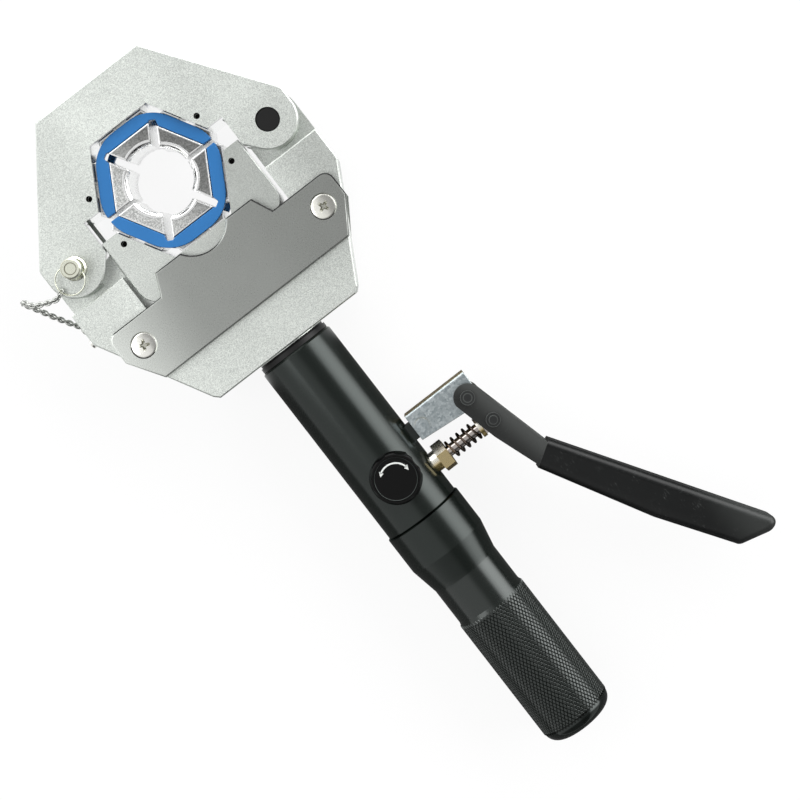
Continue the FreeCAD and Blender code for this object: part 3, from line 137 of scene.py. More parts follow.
class Signal:
    """A socket that takes part in arithmetic."""

    def __init__(self, tree, socket):
        self.tree = tree
        self.socket = socket

    def run(self, operation, *terms):
        values = {i: term for i, term in enumerate(terms)}
        node = put(self.tree, "ShaderNodeMath", values, operation=operation)
        return Signal(self.tree, node.outputs[0])

    def alone(self, operation):
        """An operation on this signal only, such as SQRT."""
        return self.run(operation, self)

    def __add__(self, other):
        return self.run("ADD", self, other)

    def __sub__(self, other):
        return self.run("SUBTRACT", self, other)

    def __mul__(self, other):
        return self.run("MULTIPLY", self, other)

    def __truediv__(self, other):
        return self.run("DIVIDE", self, other)

    def __mod__(self, other):
        return self.run("MODULO", self, other)

    def __rsub__(self, other):
        return self.run("SUBTRACT", other, self)

    __radd__ = __add__
    __rmul__ = __mul__

    def clamped(self):
        return self.run("MAXIMUM", self.run("MINIMUM", self, 1.0), 0.0)

    def ramp(self, low, high):
        """0 below low, 1 above high, smooth between."""
        values = {"Value": self, "From Min": low, "From Max": high}
        node = put(self.tree, "ShaderNodeMapRange", values, interpolation_type="SMOOTHSTEP")
        return Signal(self.tree, node.outputs[0])

    def band(self, rise, full, fall, gone):
        """0 up to rise, 1 from full to fall, and 0 again from gone on."""
        return self.ramp(rise, full) * (1 - self.ramp(fall, gone))


class Finish:
    """A material under construction, on one Principled shader."""

    def __init__(self, name, **sockets):
        self.material = bpy.data.materials.new(name)
        self.material.use_nodes = True
        self.tree = self.material.node_tree
        self.shader = self.tree.nodes["Principled BSDF"]
        for key, value in sockets.items():
            self.shader.inputs[key.replace("_", " ")].default_value = value
        metres = self.add("ShaderNodeTexCoord").outputs["Object"]
        values = {"Vector": metres, "Scale": (1 / MM, 1 / MM, 1 / MM)}
        self.place = self.add("ShaderNodeMapping", values).outputs[0]
        split = self.add("ShaderNodeSeparateXYZ", {0: self.place})
        self.x, self.y, self.z = (Signal(self.tree, out) for out in split.outputs)

    def add(self, kind, values=None, **settings):
        return put(self.tree, kind, values, **settings)

    def signal(self, socket):
        return Signal(self.tree, socket)

    def noise(self, size_mm, detail=2.0, stretch=(1, 1, 1), roughness=0.5):
        """Cloudy noise whose lumps are about size_mm across."""
        scale = tuple(s / size_mm for s in stretch)
        place = self.add("ShaderNodeMapping", {"Vector": self.place, "Scale": scale}).outputs[0]
        values = {"Vector": place, "Scale": 1.0, "Detail": detail, "Roughness": roughness}
        return self.signal(self.add("ShaderNodeTexNoise", values).outputs["Fac"])

    def crystals(self, size_mm):
        """Flat cells about size_mm across, each with its own level."""
        values = {"Vector": self.place, "Scale": 1.0 / size_mm}
        colour = self.add("ShaderNodeTexVoronoi", values).outputs["Color"]
        return self.signal(self.add("ShaderNodeSeparateColor", {0: colour}).outputs[0])

    def feed(self, name, value):
        """Link a signal or a socket to an input of the shader."""
        socket = value.socket if isinstance(value, Signal) else value
        self.tree.links.new(socket, self.shader.inputs[name])

    def paint(self, colour):
        """Make a socket the base colour."""
        self.colour = colour
        self.feed("Base Color", colour)

    def between(self, factor, first, second):
        """A colour that runs from first to second with a factor."""
        values = {"Factor": factor}
        for index, shade in ((6, first), (7, second)):
            is_socket = isinstance(shade, bpy.types.NodeSocket)
            values[index] = shade if is_socket else tuple(shade) + (1,)
        return self.add("ShaderNodeMix", values, data_type="RGBA").outputs[2]

    def cover(self, shade, weight):
        """Lay another colour over the base colour, where the weight is 1."""
        self.paint(self.between(weight, self.colour, shade))

    def tint(self, shade, weight):
        """Multiply the base colour by a grey shade, where the weight is 1."""
        values = {"Factor": weight, 6: self.colour, 7: (shade, shade, shade, 1)}
        node = self.add("ShaderNodeMix", values, data_type="RGBA", blend_type="MULTIPLY")
        self.paint(node.outputs[2])

    def normal(self):
        """The three parts of the surface's direction."""
        direction = self.add("ShaderNodeNewGeometry").outputs["Normal"]
        split = self.add("ShaderNodeSeparateXYZ", {0: direction})
        return [self.signal(out) for out in split.outputs]

    def facing(self, way, low, high):
        """1 where the surface faces a way, 0 where it turns from it."""
        x, y, z = self.normal()
        return (x * way[0] + y * way[1] + z * way[2]).ramp(low, high)

    def upright(self):
        """1 on walls that stand along Z, 0 on faces across it."""
        return 1 - self.normal()[2].alone("ABSOLUTE").ramp(0.2, 0.5)

    def from_axis(self, x, y):
        """Distance in mm from an axis that runs along Z."""
        off_x, off_y = self.x - x, self.y - y
        return (off_x * off_x + off_y * off_y).alone("SQRT")

    def bump(self, height, depth_mm, strength):
        """Raise the surface by a height signal between 0 and 1."""
        values = {"Height": height, "Distance": depth_mm * MM, "Strength": strength}
        self.feed("Normal", self.add("ShaderNodeBump", values).outputs[0])

    def wear(self, *names):
        """Give this finish to CAD nodes."""
        for name in names:
            mesh = nodes[name].data
            mesh.materials.clear()
            mesh.materials.append(self.material)


# %% [markdown]
# ## Room and lamp
#
# Steel and black lacquer show whatever is round them, so the room itself is drawn in bands
# that run along the tool: a broad pale side on the left, a dark strip overhead where the
# photographer stands, and a bright soft box low on the right. The soft box gives the tube
# its long highlight, and rough steel blurs the bands into an even grey. A second soft box
# stands beyond the jaw, low down, and lights the sides of round parts that lie across the
# tool. Towards the handle's end the room falls dark. A weak lamp adds the soft shadow.

# %% Light the room
ROOM_BANDS = (
    (-180, 0.85), (-8, 0.85), (8, 0.28), (38, 0.28), (46, 3.4), (60, 4.8), (76, 4.4),
    (92, 2.6), (108, 0.85), (180, 0.85))
BRIGHTEST = 5.0
FAR_BOX = 2.0
NEAR_LEVEL = 0.15
LAMP_WATTS = 3
LAMP_SIDE = 0.7
LAMP_PLACE, LAMP_AIM = Vector((-0.75, 0.25, 0.95)), Vector((0, -0.1, 0))


def ray_kinds(tree):
    """1 for rays from the camera, and 1 for rays off shiny or through clear surfaces."""
    rays = put(tree, "ShaderNodeLightPath").outputs
    bounced = Signal(tree, rays["Is Glossy Ray"]) + Signal(tree, rays["Is Transmission Ray"])
    return Signal(tree, rays["Is Camera Ray"]), bounced.clamped()


world = bpy.data.worlds.new("studio")
scene.world = world
world.use_nodes = True
room = world.node_tree
ground = room.nodes["Background"]
way = put(room, "ShaderNodeSeparateXYZ", {0: put(room, "ShaderNodeTexCoord").outputs["Generated"]})
way_x, way_y, way_z = (Signal(room, out) for out in way.outputs)
lean = way_x.run("ARCTAN2", way_x, way_z)
stops = [(0.5 + angle / 360, (level / BRIGHTEST,) * 3) for angle, level in ROOM_BANDS]
bands = put(room, "ShaderNodeValToRGB", {0: lean / (2 * math.pi) + 0.5}, stops=stops)
low = 1 - way_z.ramp(-0.05, 0.12)
seen, mirrored = ray_kinds(room)
white = (seen + mirrored * low).clamped()
near_dark = way_y.ramp(-0.62, -0.42) * (1 - NEAR_LEVEL) + NEAR_LEVEL
far_box = way_y.ramp(0.5, 0.8) * FAR_BOX
lit = Signal(room, bands.outputs[0]) * near_dark * BRIGHTEST + far_box
strength = white + (1 - white) * lit
room.links.new(strength.socket, ground.inputs["Strength"])
ground.inputs["Color"].default_value = (1, 1, 1, 1)
scene.view_settings.view_transform = "Standard"

lamp_data = bpy.data.lights.new("soft_key", "AREA")
lamp_data.shape = "RECTANGLE"
lamp_data.size, lamp_data.size_y = LAMP_SIDE, LAMP_SIDE
lamp_data.energy = LAMP_WATTS
lamp = bpy.data.objects.new("soft_key", lamp_data)
scene.collection.objects.link(lamp)
lamp.location = LAMP_PLACE
lamp.rotation_euler = (LAMP_AIM - LAMP_PLACE).to_track_quat("-Z", "Y").to_euler()
print("room bands:", len(ROOM_BANDS))

# %% [markdown]
# ## Floor
#
# A cut-out product photograph has a white ground. The floor is white card that takes a soft shadow.
# The black tube and handle mirror the floor along their edges, and the photograph shows them dark
# to the very edge. So below the head the floor stays white to the camera but is a painted dark
# reflection to mirrored rays, with no dark thing lying there.

# %% Lay the floor
FLOOR_HALF = 3.0
DARK_REFLECTION_Y, DARK_REFLECTION_EDGE = -0.108, 0.012
rest_z = cad_box[0].z
floor_mesh = bpy.data.meshes.new("floor")
corners = ((-1, -1), (1, -1), (1, 1), (-1, 1))
floor_mesh.from_pydata([(x * FLOOR_HALF, y * FLOOR_HALF, rest_z) for x, y in corners],
                       [], [(0, 1, 2, 3)])
floor = bpy.data.objects.new("floor", floor_mesh)
scene.collection.objects.link(floor)
card = bpy.data.materials.new("white_card")
card.use_nodes = True
tree = card.node_tree
paper = tree.nodes["Principled BSDF"]
paper.inputs["Base Color"].default_value = (0.9, 0.9, 0.9, 1)
paper.inputs["Roughness"].default_value = 0.9
seen, mirrored = ray_kinds(tree)
place = put(tree, "ShaderNodeSeparateXYZ", {0: put(tree, "ShaderNodeTexCoord").outputs["Object"]})
# Painted dark reflection: below the head the floor glows almost black to mirrored rays only.
painted_dark_reflection = 1 - Signal(tree, place.outputs[1]).ramp(DARK_REFLECTION_Y - DARK_REFLECTION_EDGE, DARK_REFLECTION_Y)
glow = put(tree, "ShaderNodeEmission", {"Strength": seen + mirrored * (1 - painted_dark_reflection * 0.96)})
share = (seen + mirrored).clamped() * 0.9
card_mix = put(tree, "ShaderNodeMixShader", {0: share, 1: paper.outputs[0], 2: glow.outputs[0]})
tree.links.new(card_mix.outputs[0], tree.nodes["Material Output"].inputs[0])
floor_mesh.materials.append(card)
print("floor at z = %.1f mm" % (rest_z / MM))

# %% [markdown]
# ## Steel of the head
#
# The jaw, the frame and the die block are steel plate with a pale satin plating. Close up
# it glitters: each grain of the blasted surface catches the light by itself. A fine noise
# varies the colour and the roughness from grain to grain, and a slow noise leaves it
# slightly cloudy, as handling does. The walls of the opening are milled, so they are
# brighter and smoother.
#
# Each part has its own tone, and painted shade lies over it. The jaw is painted darker towards the
# lock pin and towards the handle side. The block is darker than the jaw, and painted darker still
# towards the hinge. The frame is painted darker at its upper corners and, lower down, towards the
# right. Painted black shade fills the four small drilled holes, and the neck over the tube is
# painted black, which masks give.

# %% Mix the head steel
HEAD_PALE, HEAD_DARK = (0.95, 0.99, 0.94), (0.57, 0.60, 0.57)
HEAD_GRAIN = {"rough": 0.42, "grain_mm": 0.38, "glitter": 1.6}
BLOCK_SHADE = 0.84
PIN_HOLES = [(x, y) for x in (-34, 34) for y in (-14.2, 14.2)]
PIN_HOLE_RADIUS = 1.6
HOLE_SHADE_AND_NECK_BLACK = (0.01, 0.01, 0.01)


def satin(name, pale, dark, rough, grain_mm, glitter):
    """Blasted and plated steel: grain by grain, with slow clouds."""
    finish = Finish(name, Metallic=1.0)
    grain = finish.noise(grain_mm, 2.0, roughness=0.75)
    cloud = finish.noise(26, 3.0)
    sparkle = ((grain - 0.5) * (3 * glitter) + 0.5 + (cloud - 0.5) * 0.3).clamped()
    finish.paint(finish.between(sparkle, dark, pale))
    finish.feed("Roughness", rough + (grain - 0.5) * 0.25 + (cloud - 0.5) * 0.08)
    finish.bump(grain, 0.03, 0.35)
    return finish


def mill_walls(finish):
    """Brighten and smooth the walls of the opening, and paint shade on them just below the face."""
    wall = finish.upright() * (1 - finish.from_axis(0, 0).ramp(58, 62))
    finish.cover((0.96, 0.97, 0.96), wall)
    # Painted shade: a dark band on the walls just below the face.
    finish.tint(0.45, wall * finish.z.ramp(13, 18))
    rough = finish.signal(finish.shader.inputs["Roughness"].links[0].from_socket)
    finish.feed("Roughness", rough * (1 - wall * 0.7))


def paint_hole_shade(finish):
    """Paint black shade into the drilled holes, whose axes run along Z."""
    low_edge, high_edge = PIN_HOLE_RADIUS - 0.15, PIN_HOLE_RADIUS + 0.05
    # Painted shade: black inside each drilled hole.
    hole_shade = sum(1 - finish.from_axis(x, y).ramp(low_edge, high_edge) for x, y in PIN_HOLES)
    finish.cover(HOLE_SHADE_AND_NECK_BLACK, hole_shade.clamped())


jaw_steel = satin("jaw_steel", HEAD_PALE, HEAD_DARK, **HEAD_GRAIN)
# Painted shade: the jaw is painted darker towards the lock pin and towards the handle side.
jaw_steel.tint(0.88, 1 - jaw_steel.x.ramp(-40, -12))
jaw_steel.tint(0.92, 1 - jaw_steel.y.ramp(-20, 15))
mill_walls(jaw_steel)
paint_hole_shade(jaw_steel)
jaw_steel.wear("upper_jaw")
block_pale, block_dark = ([c * BLOCK_SHADE for c in tone] for tone in (HEAD_PALE, HEAD_DARK))
block_steel = satin("block_steel", block_pale, block_dark, **HEAD_GRAIN)
# Painted shade: the block is painted darker towards the hinge.
block_steel.tint(0.82, block_steel.x.ramp(-30, 40))
mill_walls(block_steel)
paint_hole_shade(block_steel)
block_steel.wear("die_block")
frame_steel = satin("frame_steel", HEAD_PALE, HEAD_DARK, **HEAD_GRAIN)
# Painted shade: the frame is painted darker at its upper corners and, lower down, towards the
# right.
upper = frame_steel.y.ramp(-64, -46)
frame_steel.tint(0.76, frame_steel.x.ramp(42, 70) * upper)
frame_steel.tint(0.91, (1 - frame_steel.x.ramp(-62, -42)) * upper)
frame_steel.tint(0.95, (1 - upper) * frame_steel.x.ramp(-40, -5))
frame_steel.cover(HOLE_SHADE_AND_NECK_BLACK, 1 - frame_steel.y.ramp(-105.1, -104.9))
frame_steel.wear("frame_body")
print("head steel mixed in 3 tones")

# %% [markdown]
# ## Steel of the dies
#
# The dies are bare tool steel. Their sides and the cone of the bore are ground bright. The face of
# each die carries a sunk patch with a coarse, dark, blasted grain, and painted shade darkens the
# patches towards the dies of the hinge side.

# %% Mix the die steels
die_steel = satin("die_steel", (0.97, 0.97, 0.97), (0.88, 0.89, 0.88), 0.26, 2.0, 0.3)
die_face = satin("die_face", (0.94, 0.95, 0.93), (0.40, 0.41, 0.40), 0.34, 0.5, 1.5)
# Painted shade: the patches are painted darker towards the hinge side.
die_face.tint(0.36, (die_face.x * 0.95 + die_face.y * 0.3).ramp(-20, 14))
print("die steels mixed")

# %% [markdown]
# ## Cover plates
#
# The covers are cold-rolled sheet with a thinner, greyer plating, and painted shade darkens them
# towards the hinge side. The sheared edge is painted dark on the sides that face the hinge and the
# jaw, as a painted dark reflection. It is found from the way the surface faces.

# %% Mix the cover steel
cover_steel = satin("cover_steel", (0.90, 0.93, 0.89), (0.67, 0.70, 0.66), 0.30, 0.6, 0.6)
# Painted shade: the plates are painted darker towards the hinge side.
cover_steel.tint(0.49, cover_steel.x.ramp(-78, -22))
cover_steel.tint(0.94, cover_steel.x.ramp(-20, 60))
# Painted dark reflection on the edge faces that turn towards the hinge and the jaw.
cover_steel.cover((0.02, 0.02, 0.02), cover_steel.facing((0.75, 0.66, 0), 0.15, 0.45))
print("cover steel mixed")

# %% [markdown]
# ## Plastics, coats and small metal parts
#
# Most of the other parts have an even finish, and still none is perfectly even. One recipe
# serves them all: two sizes of noise move the tone and the roughness a little, and a fine
# bump breaks up the highlights.

# %% Mix the plain finishes
def even(name, shade, rough, metallic=0.0, grain_mm=0.6, depth_mm=0.004, **sockets):
    """An even finish with slight clouds and a fine grain."""
    finish = Finish(name, Metallic=metallic, **sockets)
    grain = finish.noise(grain_mm)
    cloud = finish.noise(18)
    tone = (cloud * 0.7 + grain * 0.3).clamped()
    darker, paler = [c * 0.85 for c in shade], [min(1, c * 1.15) for c in shade]
    finish.paint(finish.between(tone, darker, paler))
    finish.feed("Roughness", rough + (grain - 0.5) * 0.10 + (cloud - 0.5) * 0.08)
    finish.bump(grain, depth_mm, 0.5)
    return finish


blue_plastic = even("blue_plastic", (0.016, 0.138, 0.372), 0.42, Specular_IOR_Level=0.4)
black_steel = even("black_steel", (0.008, 0.008, 0.008), 0.40, Specular_IOR_Level=0.25)
black_plastic = even("black_plastic", (0.003, 0.003, 0.003), 0.32, Specular_IOR_Level=0.12)
rubber = even("rubber", (0.02, 0.02, 0.02), 0.6)
bronze = even("bronze", (0.5, 0.33, 0.16), 0.35, 1.0)
spring_steel = even("spring_steel", (0.11, 0.085, 0.07), 0.25, 1.0)
hard_chrome = even("hard_chrome", (0.56, 0.51, 0.48), 0.12, 1.0)
bright_steel = even("bright_steel", (0.86, 0.85, 0.81), 0.2, 1.0)
chain_steel = even("chain_steel", (0.42, 0.43, 0.41), 0.18, 1.0)
white_ink = even("white_ink", (0.62, 0.64, 0.62), 0.6)
print("finishes:", len(bpy.data.materials))

# %% [markdown]
# ## Lacquer and brass
#
# The lacquer has a second gloss on the handle below its cone. At each end of the handle a thin band
# is painted black with no reflection, as painted shade in the joint. The lever's coat has a painted
# sheen along one side and small flecks of wear. The brass is painted pale on the faces turned
# towards the head, as a painted highlight.

# %% Mix the lacquers and the brass
LACQUER_TINT = (0.91, 1.0, 0.97, 1)
black_coat = even("black_coat", (0.0035, 0.005, 0.004), 0.22, depth_mm=0.002,
                  Specular_Tint=LACQUER_TINT, Coat_Roughness=0.16)
# Painted shade: a thin black band without reflection at each end of the handle, in the joints.
upper_joint_shade = black_coat.y.band(-215.2, -215.0, -214.0, -213.8)
lower_joint_shade = black_coat.y.band(-341.7, -341.5, -340.5, -340.3)
black_coat.feed("Metallic", upper_joint_shade + lower_joint_shade)
black_coat.feed("Coat Weight", (1 - black_coat.y.ramp(-252, -247)) * 0.38)
gloss_black = even("gloss_black", (0.004, 0.005, 0.0045), 0.12, depth_mm=0.001,
                   Specular_Tint=LACQUER_TINT)
lever_coat = even("lever_coat", (0.011, 0.012, 0.0115), 0.20, depth_mm=0.006,
                  Specular_IOR_Level=0.4)
# Painted sheen: the coat is painted paler along one side.
painted_sheen = (lever_coat.x * 0.975 + lever_coat.y * 0.231).ramp(7, 20)
lever_coat.cover((0.05, 0.053, 0.051), painted_sheen)
specks = lever_coat.noise(0.5, 3.0, roughness=0.8).ramp(0.60, 0.72)
lever_coat.cover((0.07, 0.075, 0.072), specks * lever_coat.noise(7).ramp(0.4, 0.65))
brass = even("brass", (0.75, 0.58, 0.25), 0.28, 1.0)
# Painted highlight: the faces turned towards the head and up are painted pale.
brass.cover((1.0, 0.97, 0.88), brass.facing((0, 0.8, 0.6), 0.3, 0.8))
print("lacquers and brass mixed")

# %% [markdown]
# ## Dipped grip
#
# The grip is a thick vinyl dip. It is smooth and a little wavy, and the end that the hand holds is
# painted paler, as a painted highlight. It has picked up fine scratches along its length, which
# catch the light as short pale hairs.

# %% Mix the vinyl
black_vinyl = even("black_vinyl", (0.0045, 0.005, 0.005), 0.30, grain_mm=4.0, depth_mm=0.15,
                   Specular_IOR_Level=0.26)
# Painted highlight: the end of the grip is painted paler.
black_vinyl.cover((0.026, 0.028, 0.027), black_vinyl.x.ramp(112, 134))
hairs = black_vinyl.noise(0.35, stretch=(1.0, 0.12, 1.0), roughness=0.7).ramp(0.62, 0.70)
patches = black_vinyl.noise(9).ramp(0.45, 0.6)
black_vinyl.cover((0.045, 0.048, 0.047), hairs * patches)
print("vinyl mixed")

# %% [markdown]
# ## Screws and pins
#
# The cover screws have a warm chromate plating, and painted shade darkens the cross and the walls
# of each head. The lock pin is nickel with a turned head, and dark rings of painted shade lie at
# the edges of its dimple and its shoulder. The two lever pins are black, and pale rings on them are
# painted highlights.

# %% Mix the screw and pin finishes
LOCK_PIN_AXIS = (-61, -8.8)
screw_steel = even("screw_steel", (0.98, 0.97, 0.85), 0.22, 1.0, depth_mm=0.02)
# Painted shade: the cross and the walls of each head are painted darker.
recess_shade = 1 - screw_steel.z.alone("ABSOLUTE").ramp(22.5, 23.1)
wall = 1 - screw_steel.facing((0, 0, 1), 0.2, 0.5)
screw_steel.cover((0.55, 0.55, 0.49), (recess_shade + wall).clamped())

pin_nickel = even("pin_nickel", (0.75, 0.765, 0.65), 0.26, 1.0)
reach = pin_nickel.from_axis(*LOCK_PIN_AXIS)
# Painted shade: dark rings at the edges of the dimple and the shoulder.
dimple = reach.band(2.5, 2.8, 3.0, 3.3)
shoulder = reach.band(4.3, 4.6, 4.7, 5.0)
pin_nickel.cover((0.27, 0.26, 0.20), (dimple + shoulder * 0.7).clamped())

pin_black = even("pin_black", (0.012, 0.013, 0.013), 0.30, Specular_IOR_Level=0.4)
# Painted highlights: pale rings round each lever pin.
rings = 0
for node in ("lever_pivot_pin", "plunger_pin"):
    points = [v.co for v in nodes[node].data.vertices]
    middle = sum(points, Vector()) / len(points) / MM
    reach = pin_black.from_axis(middle.x, middle.y)
    rings = rings + reach.band(1.9, 2.1, 2.3, 2.6) + reach.band(3.3, 3.7, 4.6, 5.0)
pin_black.cover((0.06, 0.065, 0.062), rings.clamped())
print("platings mixed")

# %% [markdown]
# ## Zinc plate
#
# The channel link is bent from galvanised sheet. Zinc freezes on steel in flat crystals, each with
# its own grey-blue tone, and the faces that do not face up are yellow. A Voronoi texture gives
# every crystal one level.

# %% Mix the zinc and dress the CAD parts
zinc_plate = Finish("zinc_plate", Metallic=1.0)
crystal = zinc_plate.crystals(1.1)
mottle = zinc_plate.noise(0.5, 3.0)
tone = (crystal * 0.5 + mottle * 0.5).clamped()
zinc_plate.paint(zinc_plate.between(tone, (0.22, 0.27, 0.29), (0.66, 0.71, 0.72)))
zinc_plate.cover((0.52, 0.42, 0.24), 1 - zinc_plate.facing((0, 0, 1), 0.3, 0.8))
zinc_plate.feed("Roughness", 0.28 + crystal * 0.14)
zinc_plate.bump(mottle, 0.01, 0.4)

pin_black.wear("lever_pivot_pin", "plunger_pin")
black_steel.wear("hinge_pin", "tube_collar")
black_coat.wear("cylinder_tube", "reservoir_handle", "link_lug")
gloss_black.wear("handle_end_cap")
black_vinyl.wear("lever_grip")
black_plastic.wear("release_knob")
rubber.wear("ram_seal", "oil_bladder")
brass.wear("gland_nut", "spring_retainer")
bronze.wear("ram_guide_bush")
spring_steel.wear("pump_spring", "ram_return_spring")
zinc_plate.wear("channel_link", "lug_pin")
hard_chrome.wear("ram_piston", "pump_plunger")
bright_steel.wear("release_spindle", "chain_anchor")
pin_nickel.wear("lock_pin")
print("zinc mixed, finishes worn")

# %% [markdown]
# ## Mesh helpers
#
# The CAD meshes come as loose triangles. `plain_copy` merges them into whole faces again.
# `keep_mesh` turns a mesh in work into an object, and `soften` rounds its edges.

# %% Write the mesh helpers
def plain_copy(node):
    """The node's mesh with its loose triangles merged and its flat faces whole again."""
    form = bmesh.new()
    form.from_mesh(nodes[node].data)
    bmesh.ops.remove_doubles(form, verts=form.verts, dist=1e-6)
    bmesh.ops.dissolve_limit(form, angle_limit=math.radians(1), verts=form.verts,
                             edges=form.edges)
    return form


def keep_mesh(form, name, *materials):
    """Turn a bmesh into an object of the scene."""
    mesh = bpy.data.meshes.new(name)
    form.to_mesh(mesh)
    form.free()
    mesh.materials.clear()
    for material in materials:
        mesh.materials.append(material)
    thing = bpy.data.objects.new(name, mesh)
    scene.collection.objects.link(thing)
    return thing


def smooth(mesh):
    """Shade every face smoothly."""
    mesh.polygons.foreach_set("use_smooth", [True] * len(mesh.polygons))


def flatten(mesh, degrees=18):
    """Smooth shading, with sharp corners kept and the faces along Z left perfectly flat."""
    smooth(mesh)
    mesh.set_sharp_from_angle(angle=math.radians(degrees))
    level = [abs(p.normal.z) < 0.9999 for p in mesh.polygons]
    mesh.polygons.foreach_set("use_smooth", level)


def soften(thing, width_mm):
    """Round the edges with a live bevel, then keep the result."""
    bevel = thing.modifiers.new("soften", "BEVEL")
    bevel.width = width_mm * MM
    bevel.segments = 2
    bevel.limit_method = "ANGLE"
    bevel.angle_limit = math.radians(35)
    graph = bpy.context.evaluated_depsgraph_get()
    mesh = bpy.data.meshes.new_from_object(thing.evaluated_get(graph))
    thing.modifiers.remove(bevel)
    thing.data = mesh
    flatten(mesh)
    return thing


def skin(form, loops):
    """Join closed loops of equal length with bands of quads, each loop to the next."""
    for first, second in zip(loops, loops[1:]):
        for i in range(len(first)):
            j = (i + 1) % len(first)
            form.faces.new((first[i], first[j], second[j], second[i]))


# %% [markdown]
# ## Keeper rings cut into quarters
#
# Four blue plastic half rings hold the dies. Each half ring gets rounded edges and is cut into a
# left and a right quarter, and the cut is closed. The notch is measured from the centre of its own
# half ring, which stands half the travel from the middle of the bore at rest.

# %% Cut the keepers
KEEPER_NOTCH = (14.95, 22.43)
HALF_TRAVEL = 4.25
KEEPER_ACROSS = (0.637, -0.771)
BEND_REACH = 2.2
KEEPER_EDGE = 0.35


def quarter_ring(whole, name, side):
    """Cut the half of a ring that lies on one side, and close the cut."""
    form = bmesh.new()
    form.from_mesh(whole.data)
    cut = bmesh.ops.bisect_plane(form, geom=form.verts[:] + form.edges[:] + form.faces[:],
                                 plane_co=(0, 0, 0), plane_no=(-side, 0, 0), clear_outer=True)
    rim = [e for e in cut["geom_cut"] if isinstance(e, bmesh.types.BMEdge)]
    bmesh.ops.holes_fill(form, edges=rim)
    quarter = keep_mesh(form, name, blue_plastic.material)
    flatten(quarter.data)
    return quarter


HALVES = (("upper", "upper_jaw"), ("lower", "die_block"))
for half, carrier in HALVES:
    rise = 1 if half == "upper" else -1
    for face in ("front", "rear"):
        node = "%s_keeper_%s" % (half, face)
        whole = keep_mesh(plain_copy(node), node + "_whole", blue_plastic.material)
        soften(whole, KEEPER_EDGE)
        for word, side in (("left", -1), ("right", 1)):
            quarter = quarter_ring(whole, "%s_%s" % (node, word), side)
            notch = Vector((side * KEEPER_NOTCH[0], rise * (KEEPER_NOTCH[1] + HALF_TRAVEL), 0)) * MM
            across = Vector((side * KEEPER_ACROSS[0], rise * KEEPER_ACROSS[1], 0))
            reach = across * BEND_REACH * MM
            notch - reach
            notch + reach
            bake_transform(quarter)
            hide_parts(node)
        bpy.data.objects.remove(whole)
print("keeper quarters: 8")

# %% [markdown]
# ## Springs
#
# Two springs stand between a fixed seat and a moving part. Each is copied from its CAD mesh, and
# the long axis and the fixed end of each are read from its own mesh.

# %% Copy the springs
ALONG_X, ALONG_Y = 0, 1


def squeezed(node, axis, fixed_high):
    """Copy a spring's coils in place of its CAD node, and print its fixed and moving ends."""
    form = plain_copy(node)
    places = [v.co[axis] for v in form.verts]
    fixed, moving = (max(places), min(places)) if fixed_high else (min(places), max(places))
    ends = [Vector((0, 0, 0)), Vector((0, 0, 0))]
    ends[0][axis], ends[1][axis] = fixed, moving
    spring = keep_mesh(form, node + "_coils", spring_steel.material)
    flatten(spring.data, 60)
    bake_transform(spring)
    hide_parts(node)
    print("%s: from %.1f to %.1f mm" % (node, fixed / MM, moving / MM))


squeezed("pump_spring", ALONG_X, False)
squeezed("ram_return_spring", ALONG_Y, True)

# %% [markdown]
# ## Ends of the grip and the handle
#
# The photograph shows the upper corner of the grip's end drawn out and the lower one tucked
# in. The CAD's end cap is a little long for it, so the cap's outer part moves towards the
# handle. The cap's rim moves up too and closes the gap to the knurl.

# %% Shape the two ends
GRIP_LENGTH, GRIP_WIDTH = Vector((0.546, -0.838, 0)), Vector((0.838, 0.546, 0))
GRIP_END, TIP_START, TIP_FADE = 15, 24, 22
TIP_REACH, TIP_SPREAD = (-2.3, 3.6), (-1.9, 1.2)
CAP_FROM, CAP_SHORTER = -344.0, 4.3
RIM_FROM, RIM_TO, RIM_WIDER = -342.2, -341.2, 1.002


def draw_tip(form):
    """Slide the grip's last part along and across, more at one edge than at the other."""
    last = max(v.co.dot(GRIP_LENGTH) for v in form.verts) / MM
    ends = [v.co.dot(GRIP_WIDTH) / MM for v in form.verts
            if v.co.dot(GRIP_LENGTH) / MM > last - GRIP_END]
    for v in form.verts:
        weight = (v.co.dot(GRIP_LENGTH) / MM - last + TIP_START) / TIP_FADE
        weight = min(1, max(0, weight))
        weight = weight * weight * (3 - 2 * weight)
        upper = (v.co.dot(GRIP_WIDTH) / MM - min(ends)) / (max(ends) - min(ends))
        slide = TIP_REACH[0] + (TIP_REACH[1] - TIP_REACH[0]) * upper
        widen = TIP_SPREAD[0] + (TIP_SPREAD[1] - TIP_SPREAD[0]) * upper
        v.co += (GRIP_LENGTH * slide + GRIP_WIDTH * widen) * weight * MM


def shorten_cap(form):
    """Move the cap's outer part and its rim towards the handle."""
    for v in form.verts:
        if v.co.y < CAP_FROM * MM:
            v.co.y += CAP_SHORTER * MM
        elif abs(v.co.y / MM - RIM_FROM) < 0.05:
            v.co.y = RIM_TO * MM
            v.co.x, v.co.z = v.co.x * RIM_WIDER, v.co.z * RIM_WIDER


form = plain_copy("lever_grip")
draw_tip(form)
dip = keep_mesh(form, "dipped_grip", black_vinyl.material)
flatten(dip.data, 35)
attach(dip, "pump_lever")
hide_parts("lever_grip")
form = plain_copy("handle_end_cap")
shorten_cap(form)
short_cap = keep_mesh(form, "short_end_cap", gloss_black.material)
flatten(short_cap.data, 30)
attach(short_cap, "frame")
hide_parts("handle_end_cap")
print("grip tip drawn out by %.1f mm, cap shorter by %.1f mm" % (TIP_REACH[1], CAP_SHORTER))

